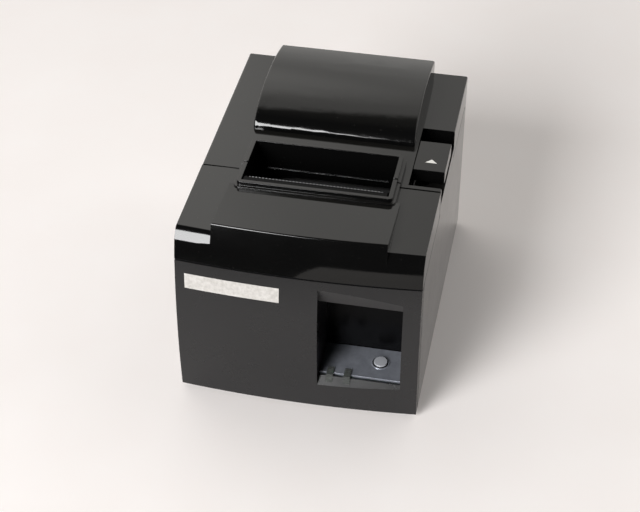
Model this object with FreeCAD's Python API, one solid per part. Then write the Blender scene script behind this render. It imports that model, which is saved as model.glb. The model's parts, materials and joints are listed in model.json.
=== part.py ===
"""Desktop receipt printer for 80 mm paper: clamshell case, roll bay, thermal head, cutter and controls.

Millimetres. +Z is up, the front faces -Y, and the origin is the centre of the footprint on the table.
"""
import FreeCAD
import Part
import math
import os
from FreeCAD import Vector

# Overall form. A size named AHEAD is measured forward from the rear face, one named BEHIND from the front
# and one named SIDE in from the side faces.
WIDTH = 142.0
DEPTH = 198.0
HEIGHT = 132.0
FOOT_HEIGHT = 2.5
TOP_Z = 117.0
SEAM_Z = 97.5
SEAM_GAP = 0.9
WALL = 2.5
EDGE_ROUND = 1.2
FIT = 0.3

# Front face, a shallow double curve
FRONT_SAG = 3.5
FRONT_FULLEST_Z = 58.0
BOTTOM_TUCK = 2.5
SEAM_TUCK = 2.5
NOSE_TUCK = 5.2
NOSE_DROP = 5.8
NOSE_BULGE = 0.3
BROW_RUN = 10.5
BROW_BULGE = 0.2
PANEL_SPLIT = 14.0

# Front cover and paper recess
PARTING_AHEAD = 125.0
PANEL_SIDE = 21.0
PANEL_RAISE = 6.0
PANEL_REAR_RAISE = 0.3
PANEL_RUN = 9.6
PANEL_BULGE = 0.05
RECESS_SIDE = 28.0
RECESS_REAR_AHEAD = 103.0
RECESS_FRONT_AHEAD = 142.6
RECESS_DEPTH = 18.0
RIM_WIDTH = 2.6
RIM_RAISE = 5.8
RIM_STEP = 1.8
RIM_STEP_RAISE = 3.2
RIM_CORNER = 2.5
TEAR_BAR_THICK = 1.0
TEAR_BAR_REACH = 4.5
FLOOR_STOP_GAP = 4.5
FLOOR_LIP_DROP = 1.5
FLOOR_EDGE = 0.8
TOOTH_PITCH = 2.0
TOOTH_RISE = 1.0
TEAR_BAR_BELOW_RIM = 0.5
TEAR_BAR_END = 1.0

# Roll hump and roll bay
HUMP_SIDE = 21.5
HUMP_REACH = 34.5
HUMP_CREST_BACK = 7.0
HUMP_FULLNESS = 1.0
ROLL_AHEAD = 49.0
ROLL_Z = 86.0
HUMP_REAR_DROP = 6.0
ROLL_RADIUS = 41.5
ROLL_CLEARANCE = 0.8
ROLL_SIDE = 31.0
BAY_WALL = 2.0
BAY_END_CLEARANCE = 1.0
BAY_FRONT_REACH = 24.0
BAY_FRONT_DROP = 20.0
BAY_RIM_DROP = 2.0
LEG_WIDTH = 6.0
LEG_THICK = 5.0
LEG_TOP_DROP = 30.0
LEG_AHEAD_OF_ROLL = 20.0
LEG_BEHIND_ROLL = 16.0
BOARD_HEADROOM = 0.5

# Rear hinge
HINGE_RADIUS = 3.0
HINGE_PIN_RADIUS = 1.5
HINGE_EAR_SIDE = 11.0
HINGE_EAR_WIDTH = 6.0
RUNNING_FIT = 0.05

# Platen, head and paper feed
PLATEN_AHEAD = 90.0
PLATEN_Z = 86.0
PLATEN_RADIUS = 7.0
PLATEN_SHAFT_RADIUS = 3.0
PLATEN_BUSH_RADIUS = 5.0
ARM_EDGE = 2.0
HEAD_TILT = 30.0
HEAD_GAP = 0.1
HEAD_THICK = 1.2
SINK_THICK = 8.0
HEAD_SIDE = 30.0
HEAD_PIVOT_RADIUS = 1.5
GEAR_MODULE = 1.0
GEAR_WIDTH = 4.0
PLATEN_TEETH = 24
IDLER_TEETH = 36
PINION_TEETH = 12
GEAR_CLEARANCE = 0.15
TRAIN_LEAN = 25.0
MOTOR_RADIUS = 17.5
MOTOR_LENGTH = 21.0
MOTOR_SHAFT_SEAT = 10.0
SHAFT_END_GAP = 1.0
GEAR_SET_OUT = 10.0
STUD_RADIUS = 2.0
HEAD_PIVOT_DOWN = 11.0
HEAD_BELOW = 9.0
HEAD_ABOVE = 4.0
SINK_UNDER_PIVOT = 3.0
SHAFT_PAST_FRAME = 4.5

# Steel mechanism frame
FRAME_SIDE = 24.0
FRAME_PLATE = 1.2
FRAME_FRONT_AHEAD = 143.0
FRAME_REAR_AHEAD = 82.0
FRAME_TOP_Z = 94.5
FRAME_SCREW_SIDE = 33.0
FRAME_SCREW_EDGE = 6.0
SCREW_HEAD_HEIGHT = 2.0
SCREW_TIP_COVER = 0.5

# Cutter
BLADE_THICK = 1.2
BLADE_GAP = 0.2
FIXED_BLADE_Z = 95.0
FIXED_BLADE_AHEAD = 96.2
BLADE_SIDE = 31.0
BLADE_REAR_AHEAD = 103.0
BLADE_LENGTH = 20.0
CUTTER_BED_THICK = 3.0
BED_EDGE = 2.0
RAIL_WIDTH = 3.0
BLADE_V = 3.0
FIXED_BLADE_LENGTH = 10.0
CUTTER_MOTOR_X = 22.0
CUTTER_MOTOR_AHEAD = 129.0
CUTTER_MOTOR_RADIUS = 10.0
CUTTER_MOTOR_LENGTH = 24.0

# Cover release lever, right side
LEVER_SIDE = 19.0
LEVER_FRONT_AHEAD = 105.5
LEVER_REAR_AHEAD = 76.0
LEVER_THICK = 8.0
NOTCH_FRONT_AHEAD = 121.7
NOTCH_REAR_AHEAD = 62.5
POCKET_FLOOR_Z = 103.5
LEVER_PIVOT_AHEAD = 93.0
LEVER_PIVOT_Z = 62.0
LATCH_SHAFT_RADIUS = 2.5
HOOK_THICK = 2.0
HOOK_WIDTH = 3.6
HOOK_STAND_OFF = 2.0
ARM_INSET = 3.0
ARM_SLOT_WIDTH = 6.0
ARM_SIDE_GAP = 1.0
ARM_HALF_DEPTH = 4.0
ARM_SLOT_FRONT = 8.0
ARM_SLOT_REAR = 16.0

# Front control niche
NICHE_SIDE = 10.0
NICHE_WIDTH = 48.5
NICHE_BOTTOM_Z = 19.4
NICHE_TOP_Z = 95.0
NICHE_DEPTH = 31.0
NICHE_WALL = 2.0
VISOR_RUN = 6.0
VISOR_DROP = 14.0
LIP_RUN = 5.0
LIP_RISE = 7.0
PLATE_THICK = 1.6
PLATE_TILT = 4.0
BUTTON_IN = 14.0
BUTTON_RADIUS = 4.4
BUTTON_RISE = 1.4
BUTTON_BACK = 1.0
BUTTON_RING = 1.0
BUTTON_RING_RISE = 0.4
PIPE_WIDTH = 4.0
PIPE_REACH = 4.0
PIPE_IN = 6.7
PIPE_PITCH = 10.3

# Nameplate left bare
NAMEPLATE_SIDE = 33.5
NAMEPLATE_Z = 84.8
NAMEPLATE_LENGTH = 55.6
NAMEPLATE_HEIGHT = 10.0
NAMEPLATE_THICK = 0.6

# Base, board, supply, sockets and switch
FLOOR_THICK = 2.5
FOOT_RADIUS = 8.0
FOOT_SIDE = 15.0
FOOT_FROM_END = 21.0
FOOT_SINK = 0.8
BOSS_SIDE = 14.0
BOSS_Y = 55.0
BOSS_RADIUS = 4.5
BOSS_HOLE_RADIUS = 2.0
BOSS_HEIGHT = 6.0
BOARD_Z = 12.0
BOARD_THICK = 1.6
BOARD_SIDE = 29.0
STANDOFF_EDGE = 4.0
STANDOFF_RADIUS = 3.0
BOARD_FRONT_AHEAD = 77.0
BOARD_REAR_AHEAD = 5.0
SUPPLY_SIDE = 20.0
SUPPLY_NICHE_GAP = 5.5
SUPPLY_FRONT_GAP = 9.0
SUPPLY_REAR_GAP = 4.0
SUPPLY_HEIGHT = 58.0
INLET_SIDE = 7.0
INLET_WIDTH = 20.0
INLET_LENGTH = 21.0
DRAWER_SOCKET_LENGTH = 17.0
DATA_SOCKET_LENGTH = 15.0
SOCKET_EDGE = 1.6
SOCKET_WELL = 10.0
SWITCH_BEHIND = 31.0
SWITCH_Z = 36.0
SWITCH_LENGTH = 20.0
SWITCH_WIDTH = 13.0
SWITCH_DEPTH = 12.0
ROCKER_SET_BACK = 0.3
ROCKER_AXLE_RADIUS = 1.0
SCREW_RADIUS = 1.5

CASE_Z = FOOT_HEIGHT
FRONT_Y = -DEPTH / 2
REAR_Y = DEPTH / 2
HALF = WIDTH / 2
RECESS_HALF = HALF - RECESS_SIDE
ROLL_HALF = HALF - ROLL_SIDE
HEAD_HALF = HALF - HEAD_SIDE
FRAME_HALF = HALF - FRAME_SIDE
BLADE_HALF = HALF - BLADE_SIDE
BOARD_HALF = HALF - BOARD_SIDE
HINGE_EAR_IN = HALF - HINGE_EAR_SIDE
FRAME_SCREW_X = HALF - FRAME_SCREW_SIDE
LEVER_LEFT_X = HALF - LEVER_SIDE
NICHE_RIGHT_X = HALF - NICHE_SIDE
NICHE_LEFT_X = NICHE_RIGHT_X - NICHE_WIDTH
BUTTON_X = NICHE_RIGHT_X - BUTTON_IN
PIPE_FIRST_X = NICHE_LEFT_X + PIPE_IN
NAMEPLATE_X = NAMEPLATE_SIDE - HALF
FOOT_X = HALF - FOOT_SIDE
BOSS_X = HALF - BOSS_SIDE
SUPPLY_LEFT_X = SUPPLY_SIDE - HALF
SUPPLY_RIGHT_X = NICHE_LEFT_X - NICHE_WALL - SUPPLY_NICHE_GAP
INLET_LEFT_X = INLET_SIDE - HALF
FLOOR_Z = CASE_Z + FLOOR_THICK
SPLIT_Y = FRONT_Y + PANEL_SPLIT
HINGE_Y = REAR_Y - HINGE_RADIUS
HINGE_Z = SEAM_Z + SEAM_GAP / 2
COVER_LOW = SEAM_Z + SEAM_GAP
SLOT_Z = TOP_Z - RECESS_DEPTH
PARTING_Y = REAR_Y - PARTING_AHEAD
RECESS_REAR_Y = REAR_Y - RECESS_REAR_AHEAD
RECESS_FRONT_Y = REAR_Y - RECESS_FRONT_AHEAD
ROLL_Y = REAR_Y - ROLL_AHEAD
PLATEN_Y = REAR_Y - PLATEN_AHEAD
FRAME_FRONT_Y = REAR_Y - FRAME_FRONT_AHEAD
FRAME_REAR_Y = REAR_Y - FRAME_REAR_AHEAD
FIXED_BLADE_Y = REAR_Y - FIXED_BLADE_AHEAD
BLADE_REAR_Y = REAR_Y - BLADE_REAR_AHEAD
LEVER_FRONT_Y = REAR_Y - LEVER_FRONT_AHEAD
LEVER_REAR_Y = REAR_Y - LEVER_REAR_AHEAD
NOTCH_FRONT_Y = REAR_Y - NOTCH_FRONT_AHEAD
NOTCH_REAR_Y = REAR_Y - NOTCH_REAR_AHEAD
LEVER_PIVOT_Y = REAR_Y - LEVER_PIVOT_AHEAD
BOARD_FRONT_Y = REAR_Y - BOARD_FRONT_AHEAD
BOARD_REAR_Y = REAR_Y - BOARD_REAR_AHEAD
FOOT_Y = REAR_Y - FOOT_FROM_END
SUPPLY_FRONT_Y = FRONT_Y + SUPPLY_FRONT_GAP
SUPPLY_REAR_Y = FRAME_FRONT_Y - SUPPLY_REAR_GAP
SWITCH_Y = FRONT_Y + SWITCH_BEHIND
PLAN_RADIUS = (HALF ** 2 + FRONT_SAG ** 2) / (2 * FRONT_SAG)
FAR = 400.0
X_AXIS = Vector(1, 0, 0)
parts = {}


def box(x0, x1, y0, y1, z0, z1):
    """Box between two corners."""
    return Part.makeBox(x1 - x0, y1 - y0, z1 - z0, Vector(x0, y0, z0))


def rod(y, z, radius, x0, x1):
    """Round bar along X."""
    return Part.makeCylinder(radius, x1 - x0, Vector(x0, y, z), X_AXIS)


def prism(points, x0, x1):
    """Straight-sided outline in Y and Z, drawn out along X."""
    loop = [Vector(x0, y, z) for y, z in points]
    face = Part.Face(Part.makePolygon(loop + loop[:1]))
    return face.extrude(Vector(x1 - x0, 0, 0))


def both_sides(make):
    """The pieces that make(side) gives for the right and the left."""
    return [make(1), make(-1)]


def span(side, inner, outer):
    """X limits of a stretch between two distances from the middle, on one side."""
    return (inner, outer) if side > 0 else (-outer, -inner)


def fuse(shapes):
    """One clean solid from several that touch or overlap."""
    joined = shapes[0].fuse(shapes[1:]) if len(shapes) > 1 else shapes[0]
    return joined.removeSplitter()


def trim(shape, tools):
    """Shape with every tool cut away."""
    return shape.cut(tools).removeSplitter()


def turn(shape, y, z, degrees):
    """Shape turned about a line along X."""
    turned = shape.copy()
    turned.rotate(Vector(0, y, z), X_AXIS, degrees)
    return turned


def swept(edges):
    """Solid of a closed side outline, swept along the bow of the front."""
    outline = Part.Face(Part.Wire(edges))
    axis = Vector(0, FRONT_Y + PLAN_RADIUS, 0)
    half_turn = math.degrees(math.asin(HALF / (PLAN_RADIUS - DEPTH))) + 1
    outline.rotate(axis, Vector(0, 0, 1), -half_turn)
    return outline.revolve(axis, Vector(0, 0, 1), 2 * half_turn)


def bowed(start, end, bulge):
    """Arc of the side outline between two points, standing out by bulge in its middle."""
    along = end - start
    outward = Vector(0, -along.z, along.y).normalize()
    return Part.Arc(start, (start + end) * 0.5 + outward * bulge, end).toShape()


def nose_points(inset):
    """Ends of the steep lower nose, which the covers and the raised panel share."""
    front = FRONT_Y + inset
    seam = Vector(0, front + SEAM_TUCK, SEAM_Z)
    nose = Vector(0, front + NOSE_TUCK, TOP_Z - NOSE_DROP - inset / 2)
    return seam, nose


def envelope(inset, z_low):
    """Outer form without the hump and the raised panel, taken in by inset."""
    axis_y = FRONT_Y + PLAN_RADIUS
    front = FRONT_Y + inset
    top = TOP_Z - inset
    foot = Vector(0, front + BOTTOM_TUCK, z_low)
    fullest = Vector(0, front, FRONT_FULLEST_Z)
    seam, nose = nose_points(inset)
    brow = Vector(0, front + BROW_RUN, top)
    back_top = Vector(0, axis_y, top)
    back_foot = Vector(0, axis_y, z_low)
    form = swept([
        Part.Arc(foot, fullest, seam).toShape(),
        bowed(seam, nose, NOSE_BULGE),
        bowed(nose, brow, BROW_BULGE),
        Part.makeLine(brow, back_top),
        Part.makeLine(back_top, back_foot),
        Part.makeLine(back_foot, foot),
    ])
    return form.common(box(-HALF + inset, HALF - inset, -DEPTH, REAR_Y - inset, z_low, top + 1))


def panel_form(inset):
    """Wedge of the front panel: level with the covers at the parting line, highest along its brow."""
    brow_z = TOP_Z + PANEL_RAISE - inset
    seam, nose = nose_points(inset)
    brow = Vector(0, FRONT_Y + inset + PANEL_RUN, brow_z)
    rear = Vector(0, PARTING_Y, TOP_Z + PANEL_REAR_RAISE - inset)
    rear_foot = Vector(0, PARTING_Y, SEAM_Z)
    form = swept([
        bowed(seam, nose, NOSE_BULGE),
        bowed(nose, brow, PANEL_BULGE),
        Part.makeLine(brow, rear),
        Part.makeLine(rear, rear_foot),
        Part.makeLine(rear_foot, seam),
    ])
    half = HALF - PANEL_SIDE - inset
    return form.common(box(-half, half, -DEPTH, RECESS_FRONT_Y - inset, COVER_LOW, FAR))


def gear(teeth, y, z, x0, x1, tooth_towards, phase):
    """Spur gear along X. A tooth (phase 0) or a gap (phase 0.5) points along tooth_towards, in degrees."""
    pitch_radius = GEAR_MODULE * teeth / 2
    root = pitch_radius - 1.2 * GEAR_MODULE
    tip = pitch_radius + 0.85 * GEAR_MODULE
    step = 360.0 / teeth
    points = []
    for n in range(teeth):
        middle = tooth_towards + (n + phase) * step
        for radius, share in ((root, -0.32), (tip, -0.13), (tip, 0.13), (root, 0.32)):
            angle = math.radians(middle + share * step)
            points.append((y + radius * math.cos(angle), z + radius * math.sin(angle)))
    return prism(points, x0, x1)


def edges_near(shape, test):
    """Edges whose middle point passes the test."""
    found = []
    for edge in shape.Edges:
        middle = edge.valueAt((edge.FirstParameter + edge.LastParameter) / 2)
        if test(middle, edge):
            found.append(edge)
    return found


def hump_outline(inset):
    """Side outline of the roll hump: a steep round front, then a long gentle fall to the rear."""
    foot_y = ROLL_Y - HUMP_REACH + inset
    crest_z = HEIGHT - inset
    rear_y = REAR_Y - inset
    rise = crest_z - TOP_Z
    crest_y = ROLL_Y + HUMP_CREST_BACK
    points = [Vector(0, foot_y, TOP_Z - 2 * WALL)]
    for step in range(7):
        turn_by = math.radians(15 * step)
        across = (1 - math.cos(turn_by)) ** HUMP_FULLNESS
        points.append(Vector(0, foot_y + (crest_y - foot_y) * across, TOP_Z + rise * math.sin(turn_by)))
    rear = Vector(0, rear_y, crest_z - HUMP_REAR_DROP)
    points.append(Vector(0, (crest_y + rear_y) / 2, crest_z - HUMP_REAR_DROP / 4))
    points.append(rear)
    curve = Part.BSplineCurve()
    curve.interpolate(points)
    low_rear = Vector(0, rear_y, points[0].z)
    edges = [curve.toShape(), Part.makeLine(rear, low_rear), Part.makeLine(low_rear, points[0])]
    return Part.Face(Part.Wire(edges))


def hump(inset, z_low):
    """Solid of the hump above a level."""
    half = HALF - HUMP_SIDE - inset
    face = hump_outline(inset)
    face.translate(Vector(-half, 0, 0))
    solid = face.extrude(Vector(2 * half, 0, 0))
    return solid.common(box(-half, half, -DEPTH, DEPTH, z_low, HEIGHT + 1))


OUTER = envelope(0, CASE_Z)
INNER = envelope(WALL, CASE_Z)


# Case: base tray, shell and front panel
def make_base():
    """Floor with standoffs for the board, legs for the roll bay and bosses for a wall bracket."""
    plate = envelope(WALL + FIT, CASE_Z).common(box(-HALF, HALF, -DEPTH, DEPTH, CASE_Z, FLOOR_Z))
    pieces = [plate]
    holes = []
    for x in (-BOSS_X, BOSS_X):
        for y in (-BOSS_Y, BOSS_Y):
            pieces.append(Part.makeCylinder(BOSS_RADIUS, BOSS_HEIGHT + FLOOR_THICK, Vector(x, y, CASE_Z)))
            holes.append(Part.makeCylinder(BOSS_HOLE_RADIUS, FAR, Vector(x, y, -1)))
    for x in (-BOARD_HALF + STANDOFF_EDGE, BOARD_HALF - STANDOFF_EDGE):
        for y in (BOARD_FRONT_Y + STANDOFF_EDGE, BOARD_REAR_Y - STANDOFF_EDGE):
            pieces.append(Part.makeCylinder(STANDOFF_RADIUS, BOARD_Z - FLOOR_Z, Vector(x, y, FLOOR_Z)))
    for x in (-FOOT_X, FOOT_X):
        for y in (-FOOT_Y, FOOT_Y):
            holes.append(Part.makeCylinder(FOOT_RADIUS, FOOT_SINK, Vector(x, y, CASE_Z)))
    return trim(fuse(pieces), holes)


BAY_RADIUS = ROLL_RADIUS + ROLL_CLEARANCE
BAY_HALF = ROLL_HALF + BAY_END_CLEARANCE
HINGE_RELIEF = HINGE_RADIUS + FIT


def hinge_ears(side):
    """Case ear that carries one hinge pin."""
    x0, x1 = span(side, HINGE_EAR_IN + FIT, HINGE_EAR_IN + HINGE_EAR_WIDTH - FIT)
    web = box(x0, x1, HINGE_Y - HINGE_RADIUS, REAR_Y - WALL, HINGE_Z - 4 * HINGE_RADIUS, HINGE_Z)
    return rod(HINGE_Y, HINGE_Z, HINGE_RADIUS, x0, x1).fuse(web)


SOCKETS = {
    "power_inlet": (INLET_LEFT_X, INLET_LEFT_X + INLET_WIDTH, REAR_Y - INLET_LENGTH, BOARD_Z, 28.0),
    "drawer_socket": (-12.0, 3.0, REAR_Y - DRAWER_SOCKET_LENGTH, BOARD_Z + BOARD_THICK, 28.0),
    "data_socket": (14.0, 26.4, REAR_Y - DATA_SOCKET_LENGTH, BOARD_Z + BOARD_THICK, 24.6),
}
POCKET_WALL = 2.0
LEVER_SLOT_X = (LEVER_LEFT_X + ARM_INSET, LEVER_LEFT_X + ARM_INSET + ARM_SLOT_WIDTH)
LEVER_SLOT_Y = (LEVER_PIVOT_Y - ARM_SLOT_FRONT, LEVER_PIVOT_Y + ARM_SLOT_REAR)
TAB_TOP_Z = POCKET_FLOOR_Z + 1.0


def make_case():
    """Side and rear walls in one piece, with hinge ears, the lever pocket's floor and the socket openings."""
    walls = OUTER.common(box(-HALF, HALF, SPLIT_Y, REAR_Y, CASE_Z, SEAM_Z))
    hollow = INNER.common(box(-HALF, HALF, -DEPTH, REAR_Y, CASE_Z, SEAM_Z + 1))
    shell = walls.cut(hollow)
    shell = shell.cut(rod(HINGE_Y, HINGE_Z, HINGE_RELIEF, -HALF, HALF))
    shell = shell.cut(box(-HALF, HALF, HINGE_Y, REAR_Y + 1, HINGE_Z - HINGE_RELIEF, FAR))
    floor = box(LEVER_LEFT_X, HALF - WALL, NOTCH_FRONT_Y + FIT, NOTCH_REAR_Y - FIT,
                POCKET_FLOOR_Z - WALL, POCKET_FLOOR_Z)
    tab = box(HALF - WALL, HALF, NOTCH_FRONT_Y + FIT, NOTCH_REAR_Y - FIT, SEAM_Z - WALL, TAB_TOP_Z)
    shell = fuse([shell, floor, tab] + both_sides(hinge_ears))
    openings = [box(*LEVER_SLOT_X, *LEVER_SLOT_Y, POCKET_FLOOR_Z - 2 * WALL, POCKET_FLOOR_Z + 1)]
    for side in (1, -1):
        bore_x = span(side, HINGE_EAR_IN - HINGE_RADIUS, HALF + 1)
        openings.append(rod(HINGE_Y, HINGE_Z, HINGE_PIN_RADIUS, *bore_x))
    for x0, x1, _, z0, z1 in SOCKETS.values():
        openings.append(box(x0 - FIT, x1 + FIT, REAR_Y - 2 * WALL, REAR_Y + 1, z0 - FIT, z1 + FIT))
    openings.append(switch_space(FIT))
    return trim(shell, openings)


def switch_space(gap):
    """Space that the power switch takes in the left wall."""
    half_y = SWITCH_WIDTH / 2 + gap
    half_z = SWITCH_LENGTH / 2 + gap
    return box(-HALF - 1, -HALF + SWITCH_DEPTH, SWITCH_Y - half_y, SWITCH_Y + half_y,
               SWITCH_Z - half_z, SWITCH_Z + half_z)


NICHE_REAR_Y = FRONT_Y + NICHE_DEPTH
PLATE_FRONT_Y = FRONT_Y + LIP_RUN + 1.8
PLATE_FRONT_Z = NICHE_BOTTOM_Z + LIP_RISE
PLATE_LENGTH = (NICHE_REAR_Y - PLATE_FRONT_Y - FIT) / math.cos(math.radians(PLATE_TILT))


def niche_outline(grow):
    """Side outline of the niche with its sloped visor, open to the front and taken out by grow."""
    low = NICHE_BOTTOM_Z - grow
    high = min(NICHE_TOP_Z + grow, SEAM_Z - FIT)
    visor = NICHE_TOP_Z - VISOR_DROP + grow
    return [
        (FRONT_Y - 5, low),
        (NICHE_REAR_Y + grow, low),
        (NICHE_REAR_Y + grow, visor),
        (FRONT_Y + VISOR_RUN, visor),
        (FRONT_Y + 1.0, high),
        (FRONT_Y - 5, high),
    ]


def make_front_panel():
    """Bowed lower front with the deep control niche behind its right half."""
    wall = OUTER.common(box(-HALF, HALF, -DEPTH, SPLIT_Y - FIT, CASE_Z, SEAM_Z))
    hollow = INNER.common(box(-HALF, HALF, -DEPTH, SPLIT_Y + 1, CASE_Z, SEAM_Z - WALL))
    shell = wall.cut(hollow)
    skin = OUTER.common(box(-HALF, HALF, -DEPTH, DEPTH, CASE_Z, SEAM_Z))
    pod = prism(niche_outline(NICHE_WALL), NICHE_LEFT_X - NICHE_WALL, NICHE_RIGHT_X + NICHE_WALL)
    pod = pod.common(skin)
    cavity = prism(niche_outline(0), NICHE_LEFT_X, NICHE_RIGHT_X)
    lip_rear_y = FRONT_Y + LIP_RUN + 1.2
    lip_top_z = PLATE_FRONT_Z - 1.2
    lip = prism([(FRONT_Y - 1.0, NICHE_BOTTOM_Z - 1), (lip_rear_y, NICHE_BOTTOM_Z - 1),
                 (lip_rear_y, lip_top_z), (FRONT_Y + LIP_RUN, lip_top_z)],
                NICHE_LEFT_X - 1, NICHE_RIGHT_X + 1).common(skin)
    body = fuse([shell, pod])
    body = fuse([body.cut(cavity), lip])
    return trim(body, [nameplate_space()])


def plate_space(side_gap, low, high):
    """Slab of the control plate: from low to high, measured square to its top face."""
    slab = box(NICHE_LEFT_X + side_gap, NICHE_RIGHT_X - side_gap, PLATE_FRONT_Y, PLATE_FRONT_Y + PLATE_LENGTH,
               PLATE_FRONT_Z + low, PLATE_FRONT_Z + high)
    return turn(slab, PLATE_FRONT_Y, PLATE_FRONT_Z, PLATE_TILT)


def nameplate_space():
    """Shallow curved pocket for the nameplate."""
    half = NAMEPLATE_LENGTH / 2
    block = box(NAMEPLATE_X - half, NAMEPLATE_X + half, -DEPTH, SPLIT_Y, NAMEPLATE_Z - NAMEPLATE_HEIGHT / 2,
                NAMEPLATE_Z + NAMEPLATE_HEIGHT / 2)
    return block.common(OUTER).cut(envelope(NAMEPLATE_THICK, CASE_Z))


parts["base_tray"] = make_base()
parts["case_shell"] = make_case()
parts["front_panel"] = make_front_panel()
parts["nameplate"] = nameplate_space()


# Rear cover with the roll hump, hinge barrel, lever notch and platen arms
RIM_HALF = RECESS_HALF + RIM_WIDTH
NOTCH_LEFT_X = LEVER_LEFT_X - 0.5
POCKET_LOW_Z = POCKET_FLOOR_Z + 0.6
ARM_FRONT_Y = PLATEN_Y - PLATEN_BUSH_RADIUS - ARM_EDGE
ARM_REAR_Y = PLATEN_Y + PLATEN_BUSH_RADIUS + ARM_EDGE
ARM_LOW_Z = PLATEN_Z - PLATEN_BUSH_RADIUS - ARM_EDGE


def rim_block(grow, z_low, z_high):
    """Round-cornered block around the paper recess, grown outwards from the rim."""
    block = box(-RIM_HALF - grow, RIM_HALF + grow, RECESS_FRONT_Y - RIM_WIDTH - grow,
                RECESS_REAR_Y + RIM_WIDTH + grow, z_low, z_high)
    upright = edges_near(block, lambda middle, edge: abs(middle.z - (z_low + z_high) / 2) < 0.01)
    return block.makeFillet(RIM_CORNER + grow, upright)


def make_rear_cover():
    """Hinged lid over the roll bay, from the parting line to the rear face."""
    front_y = PARTING_Y + SEAM_GAP / 2
    lid = OUTER.common(box(-HALF, HALF, front_y, REAR_Y, COVER_LOW, TOP_Z))
    lid = fuse([lid, hump(0, TOP_Z - WALL)])
    hollow = box(-HALF + WALL, HALF - WALL, front_y - 1, REAR_Y - WALL, COVER_LOW - 1, TOP_Z - WALL)
    shell = lid.cut([hollow, hump(WALL, COVER_LOW)])
    rounded = edges_near(shell, is_cover_edge)
    shell = shell.makeFillet(EDGE_ROUND, rounded)
    pieces = [shell]
    behind = box(-FAR, FAR, front_y, FAR, 0, FAR)
    pieces.append(rim_block(0, SLOT_Z, TOP_Z + RIM_RAISE).common(behind))
    pieces.append(rim_block(RIM_STEP, TOP_Z - WALL, TOP_Z + RIM_STEP_RAISE).common(behind))
    for side in (1, -1):
        arm_x = span(side, RECESS_HALF, RIM_HALF)
        pieces.append(box(*arm_x, RECESS_REAR_Y, ARM_REAR_Y, SLOT_Z, TOP_Z - WALL / 2))
        pieces.append(box(*arm_x, ARM_FRONT_Y, ARM_REAR_Y, ARM_LOW_Z, SLOT_Z + RIM_WIDTH))
        barrel_x = span(side, HINGE_EAR_IN + HINGE_EAR_WIDTH, HALF)
        pieces.append(rod(HINGE_Y, HINGE_Z, HINGE_RADIUS, *barrel_x))
    pieces.append(rod(HINGE_Y, HINGE_Z, HINGE_RADIUS, -HINGE_EAR_IN, HINGE_EAR_IN))
    pieces.append(box(NOTCH_LEFT_X - POCKET_WALL, HALF - WALL, NOTCH_FRONT_Y - POCKET_WALL,
                      NOTCH_REAR_Y + POCKET_WALL, POCKET_LOW_Z, TOP_Z - WALL / 2))
    tools = [box(-RECESS_HALF, RECESS_HALF, front_y - 1, RECESS_REAR_Y, SLOT_Z - 1, FAR)]
    tools.append(box(NOTCH_LEFT_X, HALF + 1, NOTCH_FRONT_Y, NOTCH_REAR_Y, COVER_LOW - 1, FAR))
    tools.append(rod(HINGE_Y, HINGE_Z, HINGE_PIN_RADIUS + RUNNING_FIT, -HALF + 1.5, HALF - 1.5))
    tools.append(rod(PLATEN_Y, PLATEN_Z, PLATEN_BUSH_RADIUS, -RIM_HALF - 1, RIM_HALF + 1))
    for side in (1, -1):
        gap_x = span(side, HINGE_EAR_IN, HINGE_EAR_IN + HINGE_EAR_WIDTH)
        tools.append(rod(HINGE_Y, HINGE_Z, HINGE_RELIEF, *gap_x))
        tools.append(box(*gap_x, HINGE_Y - HINGE_RELIEF, HINGE_Y, COVER_LOW - 1, HINGE_Z + HINGE_RELIEF))
    return trim(fuse(pieces), tools)


def is_cover_edge(middle, edge):
    """Outer top edges of a cover: along both sides, and along the hump."""
    on_side = abs(abs(middle.x) - HALF) < 0.01 and abs(middle.z - TOP_Z) < 0.01
    on_hump = abs(abs(middle.x) - HALF + HUMP_SIDE) < 0.01 and middle.z > TOP_Z + 1 and edge.Length > 20
    return on_side or on_hump


def make_front_cover():
    """Lift-off front with the raised panel, the recess rim and the sloped recess floor."""
    rear_y = PARTING_Y - SEAM_GAP / 2
    zone = box(-HALF, HALF, -DEPTH, rear_y, COVER_LOW, FAR)
    cap = OUTER.common(zone)
    hollow = INNER.common(box(-HALF, HALF, -DEPTH, rear_y + 1, CASE_Z, FAR))
    pieces = [fuse([cap, panel_form(0)]).cut([hollow, panel_form(WALL)])]
    ahead = box(-FAR, FAR, -FAR, rear_y, 0, FAR)
    pieces.append(rim_block(0, SLOT_Z + 6, TOP_Z + RIM_RAISE).common(ahead))
    pieces.append(rim_block(RIM_STEP, TOP_Z - WALL, TOP_Z + RIM_STEP_RAISE).common(ahead))
    body = fuse(pieces)
    body = body.cut(box(-RECESS_HALF, RECESS_HALF, RECESS_FRONT_Y, rear_y + 1, COVER_LOW - 1, FAR))
    floor_end_y = RECESS_REAR_Y - FLOOR_STOP_GAP
    floor_top = TOP_Z - FLOOR_LIP_DROP
    into_rim = RECESS_FRONT_Y - RIM_WIDTH / 2
    floor = prism([(RECESS_FRONT_Y, floor_top), (floor_end_y, SLOT_Z), (floor_end_y, SLOT_Z - FLOOR_EDGE),
                   (into_rim, floor_top - 2 * FLOOR_LIP_DROP), (into_rim, floor_top)],
                  -RECESS_HALF + FIT, RECESS_HALF - FIT)
    return fuse([body, floor])


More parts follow.
